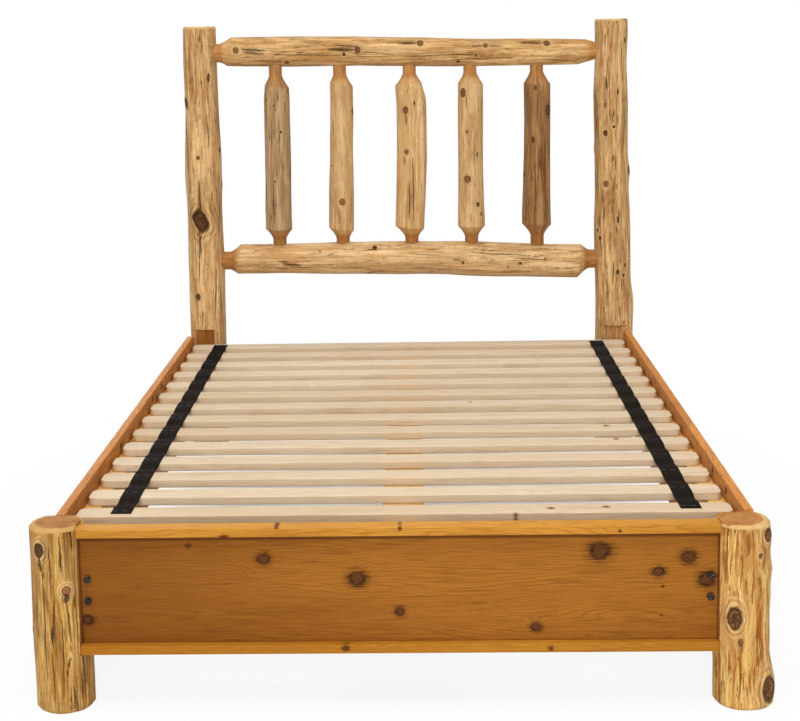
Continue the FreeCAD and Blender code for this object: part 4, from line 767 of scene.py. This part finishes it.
strapWeb = {"width": 44.5, "thick": 1.7, "dip": 3.6}
straps = {
    "strap_left": {"foot": (-599.5, -851), "head": (-606, 920), "seed": 3},
    "strap_right": {"foot": (609, -849), "head": (605, 917), "seed": 4},
}
webbing = strapPaint()
for label, plan in straps.items():
    # a flat ring carried along the slats' tops: it sags between them by a sine and draws in a little there
    (footX, footY), (headX, headY) = plan["foot"], plan["head"]
    run = np.arange(footY, headY + 1, 3.0) * mm
    share = (run - run[0]) / (run[-1] - run[0])
    middle = (footX + (headX - footX) * share) * mm
    pitch, slatHalf = slatRun["pitch"], slatRun["half"]
    gap = np.mod((slatRun["first"] * mm - run) / (pitch * mm) + 0.5, 1) - 0.5
    past = np.clip((np.abs(gap) * pitch - slatHalf) / (pitch / 2 - slatHalf), 0, 1)  # 0 on a slat, 1 mid gap
    sag = strapWeb["dip"] * mm * np.sin(past * math.pi / 2) ** 1.5
    pick = np.random.default_rng(plan["seed"])
    edge = [1 + sum(pick.uniform(-0.006, 0.006) * np.cos(k * run * 20 + pick.uniform(0, 6)) for k in range(1, 7))
            - 0.02 * past for _ in range(2)]
    upper = [-1, -0.97, -0.85, -0.6, -0.3, 0, 0.3, 0.6, 0.85, 0.97]
    across = np.array(upper + [-part for part in upper])
    top = np.array([0.5, 0.85] + [1] * 7 + [0.85, 0.5, 0.15] + [0] * 7 + [0.15])
    half = strapWeb["width"] / 2 * mm * np.where(across[None] < 0, edge[0][:, None], edge[1][:, None])
    x = middle[:, None] + across[None] * half
    z = slatRun["top"] * mm - sag[:, None] + top[None] * strapWeb["thick"] * mm
    y = np.repeat(run[:, None], len(across), 1)
    rings = np.stack([x, y, z], -1)
    marks = {"weave": np.stack([y, x - middle[:, None], z * 0], -1)}
    poles = np.array([rings[0].mean(0), rings[-1].mean(0)])
    strap = closedTube("webbing_" + label, rings, poles, marks, webbing, "slat_mat", 60)
    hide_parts(label)
print("straps laid")


def seenPlainly(p):  # one for the camera's own rays and for those a mirror or glass sends on
    path = p.node("ShaderNodeLightPath", {}).socket.node.outputs
    seen = [Field(p, path[name]) for name in ("Is Camera Ray", "Is Glossy Ray", "Is Transmission Ray")]
    return p.maths("MAXIMUM", p.maths("MAXIMUM", seen[0], seen[1]), seen[2])


def skyAndFloor():
    # the camera, mirrors and glass see white; the floor's shadow is deepest under the bed's middle, soft near the
    # feet and fades to white past them
    scene.world = bpy.data.worlds.new("studio")
    p = Paint("studio", scene.world)
    dim = p.node("ShaderNodeBackground", {"Color": (1, 0.985, 0.96, 1), "Strength": 0.13})
    white = p.node("ShaderNodeBackground", {"Color": (1, 1, 1, 1), "Strength": 1.0})
    sky = p.node("ShaderNodeMixShader", {0: seenPlainly(p), 1: dim, 2: white})
    p.node("ShaderNodeOutputWorld", {0: sky})
    p = Paint("paleFloor")
    wide, under = [p.node("ShaderNodeVectorMath", {0: p.stretch(p.here(), by, shift)}, 1, operation="LENGTH")
                   for by, shift in (((0.55, 0.42, 0), (0, 0, 0)), ((1.25, 1.02, 0), (0, -0.28, 0)))]
    share = seenPlainly(p) * p.step(wide, 0.35, 0.95, 0.86, 1.0) * p.step(under, 0.55, 1.0, 0.2, 1.0)
    matte = p.node("ShaderNodeBsdfDiffuse", {"Color": (0.78, 0.775, 0.76, 1)})
    glow = p.node("ShaderNodeEmission", {"Color": (1, 1, 1, 1), "Strength": 1.0})
    shader = p.node("ShaderNodeMixShader", {0: share, 1: matte, 2: glow})
    p.node("ShaderNodeOutputMaterial", {0: shader})
    mesh = bpy.data.meshes.new("floor")
    reach = 12.0
    corners = [(x * reach, y * reach, 0) for x, y in ((-1, -1), (1, -1), (1, 1), (-1, 1))]
    mesh.from_pydata(corners, [], [(0, 1, 2, 3)])
    mesh.materials.append(p.material)
    floor = placed("floor", mesh)


def hangLamp(name, kind, toward, energy, tone):
    lamp = bpy.data.lights.new(name, kind)
    lamp.energy, lamp.color = energy, tone
    holder = placed(name, lamp)
    holder.rotation_euler = Vector(toward).to_track_quat("-Z", "Y").to_euler()
    return holder


skyAndFloor()
overhead = hangLamp("overhead", "AREA", (0, 0.8, -1.9), 24, (1, 0.985, 0.96))
overhead.location = (0, -1.7, 2.3)
overhead.data.shape, overhead.data.size, overhead.data.size_y = "RECTANGLE", 2.2, 1.2
for name, toward, strength, spread, tone in (  # parallel light, softened by its angular size
        ("key", (0.04, 1, -0.3), 1.6, 40, (1, 0.975, 0.93)),
        ("above", (0, 0.1, -1), 1.9, 50, (0.9, 0.95, 1)),
        ("behind", (0.2, -1, -0.2), 0.9, 25, (1, 0.99, 0.98)),
        ("left", (1, 0.25, -0.2), 0.5, 75, (1, 0.99, 0.98)),
        ("right", (-1, 0.25, -0.2), 0.5, 75, (1, 0.99, 0.98))):
    hangLamp(name, "SUN", toward, strength, tone).data.angle = math.radians(spread)

view = {"place": (0.04923, -4.05847, 1.38857), "yaw": -1.9052, "down": 8.1645, "roll": -1.1105, "focal": 1568.05,
        "centre": (370, 250), "size": (800, 721)}
yaw, down, roll = (math.radians(view[key]) for key in ("yaw", "down", "roll"))
ahead = Vector((math.sin(yaw) * math.cos(down), math.cos(yaw) * math.cos(down), -math.sin(down)))
level = Vector((math.cos(yaw), -math.sin(yaw), 0))
above = level.cross(ahead)
right = level * math.cos(roll) + above * math.sin(roll)
top = above * math.cos(roll) - level * math.sin(roll)
lens = bpy.data.cameras.new("camera")
lens.sensor_width = 36
width, height = view["size"]
lens.lens = lens.sensor_width * view["focal"] / width
lens.shift_x = (width / 2 - view["centre"][0]) / width
lens.shift_y = (view["centre"][1] - height / 2) / width
lens.clip_end = 100
camera = placed("camera", lens)
camera.matrix_world = Matrix.Translation(view["place"]) @ Matrix((right, top, -ahead)).transposed().to_4x4()
scene.camera = camera
scene.view_settings.view_transform = "Standard"
print("light and camera set")

bpy.context.view_layer.update()
